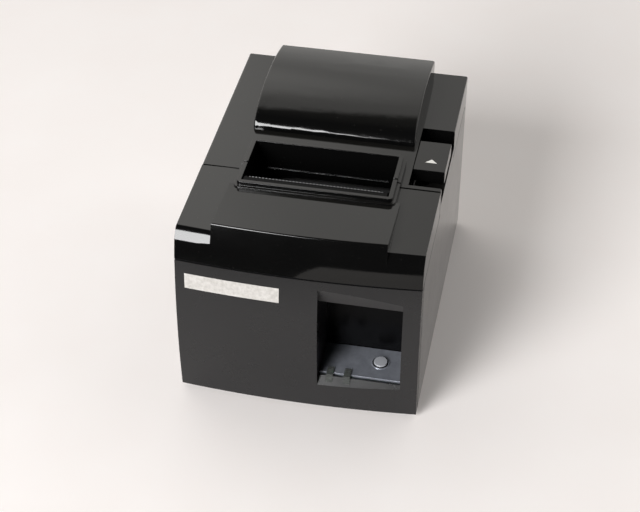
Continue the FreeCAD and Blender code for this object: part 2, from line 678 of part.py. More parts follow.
def make_tear_bar():
    """Flat steel strip inside the front of the recess, with its toothed edge towards the paper."""
    half = RECESS_HALF - TEAR_BAR_END
    count = int(2 * half / TOOTH_PITCH)
    z = TOP_Z + RIM_RAISE - TEAR_BAR_BELOW_RIM - TEAR_BAR_THICK
    root_y = RECESS_FRONT_Y + TEAR_BAR_REACH - TOOTH_RISE
    points = [Vector(-half, RECESS_FRONT_Y, z)]
    for n in range(count):
        points.append(Vector(-half + n * TOOTH_PITCH, root_y, z))
        points.append(Vector(-half + (n + 0.5) * TOOTH_PITCH, root_y + TOOTH_RISE, z))
    points.append(Vector(-half + count * TOOTH_PITCH, root_y, z))
    points.append(Vector(-half + count * TOOTH_PITCH, RECESS_FRONT_Y, z))
    return Part.Face(Part.makePolygon(points + points[:1])).extrude(Vector(0, 0, TEAR_BAR_THICK))


parts["rear_cover"] = make_rear_cover()
parts["front_cover"] = make_front_cover()
parts["tear_bar"] = make_tear_bar()
parts["hinge_pins"] = Part.makeCompound(
    both_sides(lambda s: rod(HINGE_Y, HINGE_Z, HINGE_PIN_RADIUS, *span(s, HINGE_EAR_IN - 6, HALF - 2.5))))


# Roll bay
def make_roll_bay():
    """Half-round trough the paper roll drops into, on four legs."""
    outer = rod(ROLL_Y, ROLL_Z, BAY_RADIUS + BAY_WALL, -BAY_HALF - BAY_WALL, BAY_HALF + BAY_WALL)
    inner = rod(ROLL_Y, ROLL_Z, BAY_RADIUS, -BAY_HALF, BAY_HALF)
    trough = outer.cut(inner)
    legs = []
    for side in (1, -1):
        leg_x = span(side, BAY_HALF, BAY_HALF + BAY_WALL + LEG_WIDTH)
        for leg_y in (ROLL_Y - LEG_AHEAD_OF_ROLL, ROLL_Y + LEG_BEHIND_ROLL):
            legs.append(box(*leg_x, leg_y, leg_y + LEG_THICK, FLOOR_Z, ROLL_Z - LEG_TOP_DROP).cut(inner))
    body = fuse([trough] + legs)
    tools = [box(-FAR, FAR, -FAR, FAR, ROLL_Z - BAY_RIM_DROP, FAR)]
    tools.append(box(-FAR, FAR, -FAR, ROLL_Y - BAY_FRONT_REACH, ROLL_Z - BAY_FRONT_DROP, FAR))
    under_bay = ROLL_Z - BAY_RADIUS - BAY_WALL - BOARD_HEADROOM
    tools.append(box(-BOARD_HALF - FIT, BOARD_HALF + FIT, -FAR, FAR, FLOOR_Z - 1, under_bay))
    return trim(body, tools)


parts["roll_bay"] = make_roll_bay()


# Steel frame, head, cutter and gear train
def along_train(distance):
    """Point on the line of gear centres, a distance from the platen."""
    lean = math.radians(TRAIN_LEAN)
    return PLATEN_Y - distance * math.sin(lean), PLATEN_Z - distance * math.cos(lean)


IDLER_AT = along_train(GEAR_MODULE * (PLATEN_TEETH + IDLER_TEETH) / 2 + GEAR_CLEARANCE)
MOTOR_AT = along_train(GEAR_MODULE * (PLATEN_TEETH + 2 * IDLER_TEETH + PINION_TEETH) / 2 + 2 * GEAR_CLEARANCE)
TRAIN_ANGLE = 270.0 - TRAIN_LEAN
GEAR_X = (-FRAME_HALF - GEAR_SET_OUT, -FRAME_HALF - GEAR_SET_OUT + GEAR_WIDTH)
HEAD_FACE = PLATEN_RADIUS + HEAD_GAP
BLADE_Z = FIXED_BLADE_Z - BLADE_GAP - BLADE_THICK
BED_TOP_Z = BLADE_Z - FIT
BED_LOW_Z = BED_TOP_Z - CUTTER_BED_THICK
CUTTER_MOTOR_AT = Vector(CUTTER_MOTOR_X, REAR_Y - CUTTER_MOTOR_AHEAD, BED_LOW_Z - CUTTER_MOTOR_LENGTH)


def from_head(along, up):
    """Point in Y and Z from a place measured in the tilted head's own directions."""
    tilt = math.radians(HEAD_TILT)
    y = PLATEN_Y + along * math.cos(tilt) - up * math.sin(tilt)
    z = PLATEN_Z + along * math.sin(tilt) + up * math.cos(tilt)
    return y, z


HEAD_PIVOT = from_head(-HEAD_FACE - HEAD_THICK - SINK_THICK / 2, -HEAD_PIVOT_DOWN)
FRAME_SCREWS = [(x, y) for x in (-FRAME_SCREW_X, FRAME_SCREW_X)
                for y in (FRAME_FRONT_Y + FRAME_SCREW_EDGE, FRAME_REAR_Y - FRAME_SCREW_EDGE)]


def make_frame():
    """Folded steel channel: a base and two cheeks slotted for the platen, with the idler's stud."""
    cheek = FRAME_HALF + FRAME_PLATE
    pieces = [box(-cheek, cheek, FRAME_FRONT_Y, FRAME_REAR_Y, FLOOR_Z, FLOOR_Z + FRAME_PLATE)]
    for side in (1, -1):
        pieces.append(box(*span(side, FRAME_HALF, cheek), FRAME_FRONT_Y, FRAME_REAR_Y, FLOOR_Z, FRAME_TOP_Z))
    pieces.append(rod(*IDLER_AT, STUD_RADIUS, GEAR_X[0] - SHAFT_END_GAP, -FRAME_HALF))
    slot = PLATEN_SHAFT_RADIUS + FIT
    tools = [rod(PLATEN_Y, PLATEN_Z, slot, -FAR, FAR)]
    tools.append(box(-FAR, FAR, PLATEN_Y - slot - 1, PLATEN_Y + slot, PLATEN_Z, FAR))
    tools.append(rod(LEVER_PIVOT_Y, LEVER_PIVOT_Z, LATCH_SHAFT_RADIUS + RUNNING_FIT, -FAR, FAR))
    tools.append(rod(*HEAD_PIVOT, HEAD_PIVOT_RADIUS, -FAR, FAR))
    tools.append(rod(*MOTOR_AT, 2 * STUD_RADIUS, -FAR, 0))
    tools += [Part.makeCylinder(SCREW_RADIUS, FAR, Vector(x, y, 0)) for x, y in FRAME_SCREWS]
    return trim(fuse(pieces), tools)


def frame_screw(x, y):
    """Pan-head screw from the frame down into the floor."""
    head_z = FLOOR_Z + FRAME_PLATE
    tip_z = CASE_Z + SCREW_TIP_COVER
    shank = Part.makeCylinder(SCREW_RADIUS, head_z - tip_z, Vector(x, y, tip_z))
    return fuse([shank, Part.makeCylinder(2 * SCREW_RADIUS, SCREW_HEAD_HEIGHT, Vector(x, y, head_z))])


def make_head_sink():
    """Aluminium bar behind the print head, on its pivot."""
    face = -HEAD_FACE - HEAD_THICK
    bar = box(-HEAD_HALF, HEAD_HALF, PLATEN_Y + face - SINK_THICK, PLATEN_Y + face,
              PLATEN_Z - HEAD_PIVOT_DOWN - SINK_UNDER_PIVOT, PLATEN_Z + HEAD_ABOVE)
    bar = turn(bar, PLATEN_Y, PLATEN_Z, HEAD_TILT)
    return bar.cut(rod(*HEAD_PIVOT, HEAD_PIVOT_RADIUS + RUNNING_FIT, -FAR, FAR))


def make_head():
    """Thin ceramic strip with the heating line, facing the platen."""
    strip = box(-HEAD_HALF, HEAD_HALF, PLATEN_Y - HEAD_FACE - HEAD_THICK, PLATEN_Y - HEAD_FACE,
                PLATEN_Z - HEAD_BELOW, PLATEN_Z + HEAD_ABOVE)
    return turn(strip, PLATEN_Y, PLATEN_Z, HEAD_TILT)


def make_cutter_bed():
    """Plate across the frame with two rails that guide the moving blade."""
    bed_y = (FRAME_FRONT_Y + BED_EDGE, BLADE_REAR_Y + BED_EDGE)
    bed = box(-FRAME_HALF, FRAME_HALF, *bed_y, BED_LOW_Z, BED_TOP_Z)
    rail_x = (BLADE_HALF + FIT, BLADE_HALF + RAIL_WIDTH)
    rails = both_sides(lambda side: box(*span(side, *rail_x), *bed_y, BED_TOP_Z, FRAME_TOP_Z))
    return fuse([bed] + rails)


def make_cutter_blade():
    """Sliding blade with a shallow V edge."""
    front_y = BLADE_REAR_Y - BLADE_LENGTH
    points = [(-BLADE_HALF, front_y), (BLADE_HALF, front_y), (BLADE_HALF, BLADE_REAR_Y),
              (0, BLADE_REAR_Y - BLADE_V), (-BLADE_HALF, BLADE_REAR_Y)]
    loop = [Vector(x, y, BLADE_Z) for x, y in points]
    return Part.Face(Part.makePolygon(loop + loop[:1])).extrude(Vector(0, 0, BLADE_THICK))


def pinion_with_shaft():
    """Motor pinion on the end of the motor's shaft."""
    wheel = gear(PINION_TEETH, *MOTOR_AT, *GEAR_X, TRAIN_ANGLE - 180, 0.5)
    shaft_x = (GEAR_X[0] - SHAFT_END_GAP, -FRAME_HALF + MOTOR_SHAFT_SEAT)
    return fuse([wheel, rod(*MOTOR_AT, STUD_RADIUS, *shaft_x)])


parts["mechanism_frame"] = make_frame()
parts["frame_screws"] = Part.makeCompound([frame_screw(x, y) for x, y in FRAME_SCREWS])
parts["base_tray"] = trim(parts["base_tray"], [
    Part.makeCylinder(SCREW_RADIUS, FAR, Vector(x, y, CASE_Z + SCREW_TIP_COVER)) for x, y in FRAME_SCREWS])
parts["print_head"] = make_head()
parts["head_sink"] = make_head_sink()
parts["head_pivot"] = rod(*HEAD_PIVOT, HEAD_PIVOT_RADIUS, -FRAME_HALF - FRAME_PLATE, FRAME_HALF + FRAME_PLATE)
parts["cutter_bed"] = make_cutter_bed()
parts["cutter_blade"] = make_cutter_blade()
parts["fixed_blade"] = box(-RECESS_HALF, RECESS_HALF, FIXED_BLADE_Y, FIXED_BLADE_Y + FIXED_BLADE_LENGTH,
                           FIXED_BLADE_Z, FIXED_BLADE_Z + BLADE_THICK)
parts["cutter_motor"] = Part.makeCylinder(CUTTER_MOTOR_RADIUS, CUTTER_MOTOR_LENGTH, CUTTER_MOTOR_AT)
parts["feed_motor"] = rod(*MOTOR_AT, MOTOR_RADIUS, -FRAME_HALF, -FRAME_HALF + MOTOR_LENGTH).cut(
    rod(*MOTOR_AT, STUD_RADIUS + RUNNING_FIT, -FAR, -FRAME_HALF + MOTOR_SHAFT_SEAT + SHAFT_END_GAP))
parts["motor_pinion"] = pinion_with_shaft()
parts["idler_gear"] = gear(IDLER_TEETH, *IDLER_AT, *GEAR_X, TRAIN_ANGLE, 0).cut(
    rod(*IDLER_AT, STUD_RADIUS + RUNNING_FIT, -FAR, FAR))
parts["platen_gear"] = gear(PLATEN_TEETH, PLATEN_Y, PLATEN_Z, *GEAR_X, TRAIN_ANGLE, 0.5).cut(
    rod(PLATEN_Y, PLATEN_Z, PLATEN_SHAFT_RADIUS, -FAR, FAR))
parts["platen_shaft"] = rod(PLATEN_Y, PLATEN_Z, PLATEN_SHAFT_RADIUS, GEAR_X[0] - SHAFT_END_GAP,
                            FRAME_HALF + SHAFT_PAST_FRAME)
parts["platen_rubber"] = rod(PLATEN_Y, PLATEN_Z, PLATEN_RADIUS, -ROLL_HALF, ROLL_HALF).cut(
    rod(PLATEN_Y, PLATEN_Z, PLATEN_SHAFT_RADIUS, -FAR, FAR))
parts["platen_bushes"] = Part.makeCompound(both_sides(
    lambda s: rod(PLATEN_Y, PLATEN_Z, PLATEN_BUSH_RADIUS, *span(s, RECESS_HALF, RIM_HALF)).cut(
        rod(PLATEN_Y, PLATEN_Z, PLATEN_SHAFT_RADIUS + RUNNING_FIT, -FAR, FAR))))


# Cover release lever and latch
def make_lever():
    """Finger block flush with the lid, on an arm that turns with the latch shaft."""
    block = box(LEVER_LEFT_X, HALF - FIT, LEVER_FRONT_Y, LEVER_REAR_Y, TOP_Z - LEVER_THICK, TOP_Z)
    arm_x = (LEVER_SLOT_X[0] + ARM_SIDE_GAP, LEVER_SLOT_X[1] - ARM_SIDE_GAP)
    arm = box(*arm_x, LEVER_PIVOT_Y - ARM_HALF_DEPTH, LEVER_PIVOT_Y + ARM_HALF_DEPTH, LEVER_PIVOT_Z,
              TOP_Z - LEVER_THICK)
    hub = rod(LEVER_PIVOT_Y, LEVER_PIVOT_Z, 2 * LATCH_SHAFT_RADIUS, *arm_x)
    body = fuse([block, arm, hub])
    return trim(body, [rod(LEVER_PIVOT_Y, LEVER_PIVOT_Z, LATCH_SHAFT_RADIUS, 0, FAR)])


def latch_hook(side):
    """Plate on the latch shaft whose nose stands over the platen shaft's end."""
    x = span(side, FRAME_HALF + HOOK_STAND_OFF, FRAME_HALF + HOOK_STAND_OFF + HOOK_THICK)
    post_y = PLATEN_Y + PLATEN_SHAFT_RADIUS + FIT
    nose_z = PLATEN_Z + PLATEN_SHAFT_RADIUS + FIT
    outline = [(LEVER_PIVOT_Y - 4, LEVER_PIVOT_Z - 4), (LEVER_PIVOT_Y + 4, LEVER_PIVOT_Z - 4),
               (post_y + HOOK_WIDTH, LEVER_PIVOT_Z + 12), (post_y + HOOK_WIDTH, nose_z + 3),
               (post_y, nose_z), (post_y, LEVER_PIVOT_Z + 14), (LEVER_PIVOT_Y - 4, LEVER_PIVOT_Z + 4)]
    return prism(outline, *x).cut(rod(LEVER_PIVOT_Y, LEVER_PIVOT_Z, LATCH_SHAFT_RADIUS, -FAR, FAR))


parts["open_lever"] = make_lever()
parts["latch_shaft"] = rod(LEVER_PIVOT_Y, LEVER_PIVOT_Z, LATCH_SHAFT_RADIUS,
                           -FRAME_HALF - HOOK_STAND_OFF - HOOK_THICK, LEVER_SLOT_X[1])
parts["latch_hooks"] = Part.makeCompound(both_sides(latch_hook))


# Control plate, button and light pipes in the niche
PLATE_MIDDLE = PLATE_LENGTH / 2


def on_plate(shape):
    """Shape drawn level at the plate's front edge, tilted with the plate."""
    return turn(shape, PLATE_FRONT_Y, PLATE_FRONT_Z, PLATE_TILT)


def pipe_block(n):
    """Light pipe that lies on the plate and folds down over the niche's lip."""
    x = PIPE_FIRST_X + n * PIPE_PITCH
    lip_y = FRONT_Y + LIP_RUN
    pipe_end = PLATE_FRONT_Y + PIPE_REACH
    outline = [(pipe_end, PLATE_FRONT_Z - PLATE_THICK), (pipe_end, PLATE_FRONT_Z + 1.0),
               (lip_y - 0.6, PLATE_FRONT_Z + 0.5), (FRONT_Y + 2.2, NICHE_BOTTOM_Z + 2.2),
               (FRONT_Y + 3.4, NICHE_BOTTOM_Z + 1.2), (lip_y + 0.8, PLATE_FRONT_Z - PLATE_THICK)]
    block = prism(outline, x - PIPE_WIDTH / 2, x + PIPE_WIDTH / 2)
    return block.cut(parts["front_panel"]).removeSplitter()


def button_stem(radius, low, high):
    """Round bar through the plate at the button's place."""
    at = Vector(BUTTON_X, PLATE_FRONT_Y + PLATE_MIDDLE + BUTTON_BACK, PLATE_FRONT_Z + low)
    return on_plate(Part.makeCylinder(radius, high - low, at))


def make_control_plate():
    """Sloped plate with a round hole and ring for the button and two slots for the light pipes."""
    ring = button_stem(BUTTON_RADIUS + BUTTON_RING, -PLATE_THICK, BUTTON_RING_RISE)
    plate = fuse([plate_space(FIT, -PLATE_THICK, 0), ring])
    return trim(plate, [button_stem(BUTTON_RADIUS + FIT, -10, 10), pipe_block(0), pipe_block(1)])


def make_button():
    """Feed button with a flange under the plate."""
    flange_top = -PLATE_THICK - FIT
    cap = button_stem(BUTTON_RADIUS, flange_top - 0.8, BUTTON_RISE)
    return fuse([cap, button_stem(BUTTON_RADIUS + 1.2, flange_top - 0.8, flange_top)])


parts["control_plate"] = make_control_plate()
parts["power_light_pipe"] = pipe_block(0)
parts["error_light_pipe"] = pipe_block(1)
parts["feed_button"] = make_button()
parts["control_board"] = box(NICHE_LEFT_X + 2, NICHE_RIGHT_X - 2, PLATE_FRONT_Y + 3, NICHE_REAR_Y - 2,
                             NICHE_BOTTOM_Z, NICHE_BOTTOM_Z + 1.6)


# Electrical pieces, feet and switch
def make_socket(x0, x1, y0, z0, z1):
    """Socket body with a hollow open to the rear."""
    edge = SOCKET_EDGE
    hollow = box(x0 + edge, x1 - edge, REAR_Y - SOCKET_WELL, REAR_Y + 1, z0 + edge, z1 - edge)
    return box(x0, x1, y0, REAR_Y, z0, z1).cut(hollow)


def make_switch_housing():
    """Switch body in the left wall with a well for the rocker."""
    well = box(-FAR, -HALF + 8, SWITCH_Y - SWITCH_WIDTH / 2 + 1.5, SWITCH_Y + SWITCH_WIDTH / 2 - 1.5,
               SWITCH_Z - SWITCH_LENGTH / 2 + 1.5, SWITCH_Z + SWITCH_LENGTH / 2 - 1.5)
    outside = box(-FAR, -HALF + 1, -FAR, FAR, -FAR, FAR)
    bearing = rocker_axle(ROCKER_AXLE_RADIUS + RUNNING_FIT, SWITCH_WIDTH / 2 - 0.3)
    return switch_space(0).cut([well, outside, bearing])


def make_rocker():
    """Rocker of the power switch, with its pivot line 4.5 mm inside the wall."""
    gap = 1.5 + FIT
    half_y = SWITCH_WIDTH / 2 - gap
    half_z = SWITCH_LENGTH / 2 - gap - 0.6
    face_x = -HALF + ROCKER_SET_BACK
    points = [(face_x, SWITCH_Z - half_z), (face_x + 1.2, SWITCH_Z), (face_x, SWITCH_Z + half_z),
              (-HALF + 5, SWITCH_Z + half_z), (-HALF + 6.5, SWITCH_Z), (-HALF + 5, SWITCH_Z - half_z)]
    loop = [Vector(x, SWITCH_Y - half_y, z) for x, z in points]
    rocker = Part.Face(Part.makePolygon(loop + loop[:1])).extrude(Vector(0, 2 * half_y, 0))
    return fuse([rocker, rocker_axle(ROCKER_AXLE_RADIUS, half_y + 1.0)])


def rocker_axle(radius, half_length):
    """Bar on the rocker's pivot line."""
    at = Vector(-HALF + 4.5, SWITCH_Y - half_length, SWITCH_Z)
    return Part.makeCylinder(radius, 2 * half_length, at, Vector(0, 1, 0))


for name, place in SOCKETS.items():
    parts[name] = make_socket(*place)
parts["power_switch"] = make_switch_housing()
parts["power_rocker"] = make_rocker()
parts["main_board"] = box(-BOARD_HALF, BOARD_HALF, BOARD_FRONT_Y, BOARD_REAR_Y,
                          BOARD_Z, BOARD_Z + BOARD_THICK)
parts["power_supply"] = box(SUPPLY_LEFT_X, SUPPLY_RIGHT_X, SUPPLY_FRONT_Y, SUPPLY_REAR_Y, FLOOR_Z,
                            FLOOR_Z + SUPPLY_HEIGHT)
parts["roll_end_sensor"] = box(-BAY_HALF - BAY_WALL - 4, -BAY_HALF - BAY_WALL, ROLL_Y - 6, ROLL_Y + 6,
                               ROLL_Z - 30, ROLL_Z - 22)
parts["rubber_feet"] = Part.makeCompound([
    Part.makeCylinder(FOOT_RADIUS, FOOT_HEIGHT + FOOT_SINK, Vector(x, y, 0))
    for x in (-FOOT_X, FOOT_X) for y in (-FOOT_Y, FOOT_Y)])

os.makedirs("parts", exist_ok=True)
for name, shape in parts.items():
    shape.exportStep("parts/" + name + ".step")
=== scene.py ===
# %% [markdown]
# # Dressing a receipt printer
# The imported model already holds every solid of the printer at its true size. This lesson gives those
# solids the look of the real thing: soft moulded edges, glossy black plastic, bright foil, steel and rubber.
# Blender works in metres, so a size that is written in millimetres is multiplied by MM. The front faces -Y.

import json
import math

import bmesh
import bpy
from mathutils import Euler, Matrix, Vector


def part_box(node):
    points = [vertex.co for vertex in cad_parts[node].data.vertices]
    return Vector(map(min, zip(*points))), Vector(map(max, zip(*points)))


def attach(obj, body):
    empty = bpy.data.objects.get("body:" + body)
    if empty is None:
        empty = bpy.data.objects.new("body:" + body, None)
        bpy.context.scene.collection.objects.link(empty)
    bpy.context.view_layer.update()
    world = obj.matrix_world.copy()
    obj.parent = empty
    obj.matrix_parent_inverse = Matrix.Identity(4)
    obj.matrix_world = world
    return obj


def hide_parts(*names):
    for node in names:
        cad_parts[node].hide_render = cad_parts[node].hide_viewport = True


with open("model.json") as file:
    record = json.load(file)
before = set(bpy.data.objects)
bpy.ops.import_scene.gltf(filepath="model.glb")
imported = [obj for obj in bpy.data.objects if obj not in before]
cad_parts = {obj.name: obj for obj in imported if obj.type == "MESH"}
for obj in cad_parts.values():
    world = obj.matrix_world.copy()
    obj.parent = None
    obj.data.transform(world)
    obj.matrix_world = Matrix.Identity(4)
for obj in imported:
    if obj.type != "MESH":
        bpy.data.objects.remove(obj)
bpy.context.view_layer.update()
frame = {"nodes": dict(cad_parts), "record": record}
MM = 0.001
body_of_node = {}
for body_name, node_names in frame["record"]["behaviour"]["bodies"].items():
    for node_name in node_names:
        body_of_node[node_name] = body_name
slot_of_node = {entry["node"]: entry["material_slot"] for entry in frame["record"]["subparts"]}

# %% [markdown]
# The photograph looks down on the front from a little to the right. A camera is three things: where it
# stands, how it is turned, and how long its lens is. All three were found by laying the printer's known
# edges over the same edges in the picture.

# %% Camera
VIEW_TURN = 11.0
VIEW_DOWN = 39.0
VIEW_ROLL = 0.19
VIEW_FROM = Vector((147.1, -782.5, 682.5)) * MM
VIEW_LENS = 92.05
VIEW_SENSOR = 36.0

camera_data = bpy.data.cameras.new("camera")
camera_data.lens = VIEW_LENS
camera_data.sensor_width = VIEW_SENSOR
camera = bpy.data.objects.new("camera", camera_data)
bpy.context.scene.collection.objects.link(camera)
tilt = Euler((math.radians(90 - VIEW_DOWN), 0, math.radians(VIEW_TURN))).to_matrix()
roll = Matrix.Rotation(math.radians(VIEW_ROLL), 3, "Z")
camera.matrix_world = Matrix.Translation(VIEW_FROM) @ (tilt @ roll).to_4x4()
bpy.context.scene.camera = camera
print("camera at", tuple(round(v, 3) for v in VIEW_FROM))

# %% [markdown]
# Colours are written the way a paint shop or a web page writes them, as sRGB hex. Blender mixes light in
# linear values, so one function does the conversion. A second small function adds a shader node, sets its
# inputs and links it, which keeps each finish below to a few readable lines.

# %% Colour and node helpers
def tint(code):
    """sRGB hex to a linear colour with alpha."""
    channels = [int(code[i:i + 2], 16) / 255 for i in (1, 3, 5)]
    linear = [c / 12.92 if c <= 0.04045 else ((c + 0.055) / 1.055) ** 2.4 for c in channels]
    return (*linear, 1.0)


def add(tree, kind, settings=None, **inputs):
    """A new node of that kind. Settings are its own fields; inputs are values, or sockets to link."""
    node = tree.nodes.new(kind)
    for name, value in (settings or {}).items():
        setattr(node, name, value)
    for name, value in inputs.items():
        by_number = name[0] == "i" and name[1:].isdigit()
        socket = node.inputs[int(name[1:])] if by_number else node.inputs[name.replace("_", " ")]
        if isinstance(value, bpy.types.NodeSocket):
            tree.links.new(value, socket)
        else:
            socket.default_value = value
    return node


def new_finish(name):
    """A material with an empty tree, its shader and its coordinates."""
    material = bpy.data.materials.new(name)
    material.use_nodes = True
    tree = material.node_tree
    tree.nodes.clear()
    shader = add(tree, "ShaderNodeBsdfPrincipled")
    output = add(tree, "ShaderNodeOutputMaterial")
    tree.links.new(shader.outputs["BSDF"], output.inputs["Surface"])
    place = add(tree, "ShaderNodeTexCoord").outputs["Object"]
    return material, tree, shader, place


def per_mm(size_mm):
    """Texture scale whose features are about size_mm across."""
    return 1.0 / (size_mm * MM)


print("helpers ready, a black as written:", tuple(round(v, 4) for v in tint("#131313")))

# %% [markdown]
# Most of the case is injection-moulded ABS. The tool steel was spark-eroded, so the plastic carries a fine
# pebble that breaks up reflections. Two finer things make it look handled: cloudy changes of gloss a few
# centimetres across, and specks of dust. A third is painted light: a thin layer of the dust colour on what
# faces up, which makes the tops lighter. A noise and a bump node give the pebble, and the other three only
# change colour or roughness. The pebble is drawn about 0.5 mm wide, coarser than life, so that it shows at
# this image size.

# %% Moulding recipe
# A noise node seldom leaves this range, so it is stretched to the full change of roughness.
NOISE_LOW = 0.3
NOISE_HIGH = 0.7
GLOSS_CLOUD_MM = 24
# A speck's edge and core are shares of the spacing between specks.
SPECK_SPACING_MM = 3.1
SPECK_EDGE = 0.045
SPECK_CORE = 0.02
SPECK_STRENGTH = 0.55
# The painted top light lies where a face's direction points up by at least this much.
TOP_LIGHT_FROM = 0.85
PEBBLE_HEIGHT = 0.1 * MM
PLASTIC_IOR = 1.53


def moulded(name, colour, dust_and_top_light, gloss, haze, pebble_mm, relief, shine=0.5, top_light_strength=0.0):
    """Moulded plastic: roughness from gloss to haze, and strengths of pebble, mirror and painted top light.
    """
    material, tree, shader, place = new_finish(name)
    cloud = add(tree, "ShaderNodeTexNoise", Vector=place, Scale=per_mm(GLOSS_CLOUD_MM), Detail=3.0,
                Roughness=0.6)
    speck = add(tree, "ShaderNodeTexVoronoi", {"feature": "F1"}, Vector=place,
                Scale=per_mm(SPECK_SPACING_MM))
    pebble = add(tree, "ShaderNodeTexNoise", Vector=place, Scale=per_mm(pebble_mm), Detail=2.0)
    is_speck = add(tree, "ShaderNodeMapRange", {"clamp": True}, Value=speck.outputs["Distance"],
                   i1=SPECK_EDGE, i2=SPECK_CORE, i3=0.0, i4=SPECK_STRENGTH)
    specked = add(tree, "ShaderNodeMix", {"data_type": "RGBA"}, Factor=is_speck.outputs[0],
                  i6=tint(colour), i7=tint(dust_and_top_light))
    # Painted light: faces that point up are mixed towards the dust colour, so the tops read lighter.
    upward = add(tree, "ShaderNodeSeparateXYZ", Vector=add(tree, "ShaderNodeTexCoord").outputs["Normal"])
    painted_top_light = add(tree, "ShaderNodeMapRange", Value=upward.outputs["Z"], i1=TOP_LIGHT_FROM, i2=1.0,
                  i3=0.0, i4=top_light_strength)
    specked_and_top_lit = add(tree, "ShaderNodeMix", {"data_type": "RGBA"}, Factor=painted_top_light.outputs[0],
                i6=specked.outputs[2], i7=tint(dust_and_top_light))
    rough = add(tree, "ShaderNodeMapRange", Value=cloud.outputs["Fac"], i1=NOISE_LOW, i2=NOISE_HIGH,
                i3=gloss, i4=haze)
    bump = add(tree, "ShaderNodeBump", Height=pebble.outputs["Fac"], Strength=relief,
               Distance=PEBBLE_HEIGHT)
    tree.links.new(specked_and_top_lit.outputs[2], shader.inputs["Base Color"])
    tree.links.new(rough.outputs[0], shader.inputs["Roughness"])
    tree.links.new(bump.outputs["Normal"], shader.inputs["Normal"])
    shader.inputs["IOR"].default_value = PLASTIC_IOR
    shader.inputs["Specular IOR Level"].default_value = shine
    return material


print("moulding recipe ready")

# %% [markdown]
# The outer mouldings are all ABS, yet they don't look alike, because each tool was finished in its own way.
# A polished tool gives a mirror, and a spark-eroded one a satin face. Gloss, pebble and the strength of the
# mirror tell them apart.

# %% Case plastics
# The lids and the walls below get a little painted light on what faces up.
# Polished tool: the lids mirror the room, with a faint sparkle where the pebble shows through.
cover_abs = moulded("polished black ABS", "#090909", "#8a8780", gloss=0.05, haze=0.1, pebble_mm=0.6,
                    relief=0.03, top_light_strength=0.03)
# Fine spark texture: the walls still shine at a glancing look, but blur what they mirror.
case_abs = moulded("fine textured black ABS", "#131313", "#8a8780", gloss=0.08, haze=0.14, pebble_mm=0.5,
                   relief=0.06, shine=0.65, top_light_strength=0.03)
# Coarser texture: the front reads as an even dark grey.
panel_abs = moulded("matt dark grey ABS", "#1a1a1b", "#6d6a66", gloss=0.24, haze=0.34, pebble_mm=0.6,
                    relief=0.22, shine=0.38)
# Painted shade: the niche is coloured far darker than the front, for the shade in the recess, and its back
# is only a dim mirror of the plate. It was also left a little smoother in the tool.
shaded_niche_abs = moulded("smooth ABS darkened as painted shade", "#070708", "#3c3b39", gloss=0.16, haze=0.26, pebble_mm=0.8,
                    relief=0.08, shine=0.05)
# Left as it comes from the tool, where no one looks: duller and deeper black.
bay_abs = moulded("plain black ABS", "#151516", "#5a5854", gloss=0.34, haze=0.5, pebble_mm=0.7, relief=0.3)
print("case plastics ready")

# %% [markdown]
# The small pieces use other plastics, and the mark on the lever is ink. The same recipe serves them all: it
# is rougher for fibres and ink, and smoother for the button that fingers have polished.

# %% Small plastics and ink
# Glass fibres at the surface make the sockets dull.
socket_nylon = moulded("glass-filled nylon", "#121213", "#4c4a47", gloss=0.4, haze=0.55, pebble_mm=0.5,
                       relief=0.4)
# Cut gear stock, waxy and slightly yellow.
gear_acetal = moulded("white acetal", "#d9d6cc", "#b5b1a6", gloss=0.3, haze=0.42, pebble_mm=0.6,
                      relief=0.15)
# The button's cap is pale and smooth from fingers.
button_abs = moulded("silver grey ABS", "#a3a5aa", "#c4c4c4", gloss=0.16, haze=0.24, pebble_mm=0.5,
                     relief=0.06)
# One pad-printed coat of white ink: flat and slightly chalky.
arrow_ink = moulded("white pad-printing ink", "#f1efea", "#c9c6c0", gloss=0.42, haze=0.55, pebble_mm=0.4,
                    relief=0.12)
print("small plastics ready")

# %% [markdown]
# The control plate is plastic sprayed with a silver lacquer, so tiny aluminium flakes sparkle under a clear
# skin. The strip on the front is a foil with a cloudy, worn silver face. Both are one recipe: two greys in
# patches, gloss that follows the patches, and a cell pattern for the flakes. The flakes are drawn about
# 0.5 mm wide, far coarser than life, so that they show.

# %% Silver lacquer and foil
# The colour changes over in a narrower part of the noise than the gloss does, so patches have clearer edges.
PATCH_LOW = 0.32
PATCH_HIGH = 0.68
FLAKE_MM = 0.45
FLAKE_HEIGHT = 0.05 * MM
FLAKE_RELIEF = 0.12


def silver(name, dark, bright, patch_mm, metal, gloss, haze):
    """Flaky silver: two greys in patches of one size, with gloss that follows them."""
    material, tree, shader, place = new_finish(name)
    patch = add(tree, "ShaderNodeTexNoise", Vector=place, Scale=per_mm(patch_mm), Detail=4.0,
                Roughness=0.65)
    flake = add(tree, "ShaderNodeTexVoronoi", {"feature": "F1"}, Vector=place, Scale=per_mm(FLAKE_MM))
    shade = add(tree, "ShaderNodeMapRange", Value=patch.outputs["Fac"], i1=PATCH_LOW, i2=PATCH_HIGH,
                i3=0.0, i4=1.0)
    colour = add(tree, "ShaderNodeMix", {"data_type": "RGBA"}, Factor=shade.outputs[0],
                 i6=tint(dark), i7=tint(bright))
    rough = add(tree, "ShaderNodeMapRange", Value=patch.outputs["Fac"], i1=NOISE_LOW, i2=NOISE_HIGH,
                i3=gloss, i4=haze)
    bump = add(tree, "ShaderNodeBump", Height=flake.outputs["Distance"], Strength=FLAKE_RELIEF,
               Distance=FLAKE_HEIGHT)
    tree.links.new(colour.outputs[2], shader.inputs["Base Color"])
    tree.links.new(rough.outputs[0], shader.inputs["Roughness"])
    tree.links.new(bump.outputs["Normal"], shader.inputs["Normal"])
    shader.inputs["Metallic"].default_value = metal
    return material


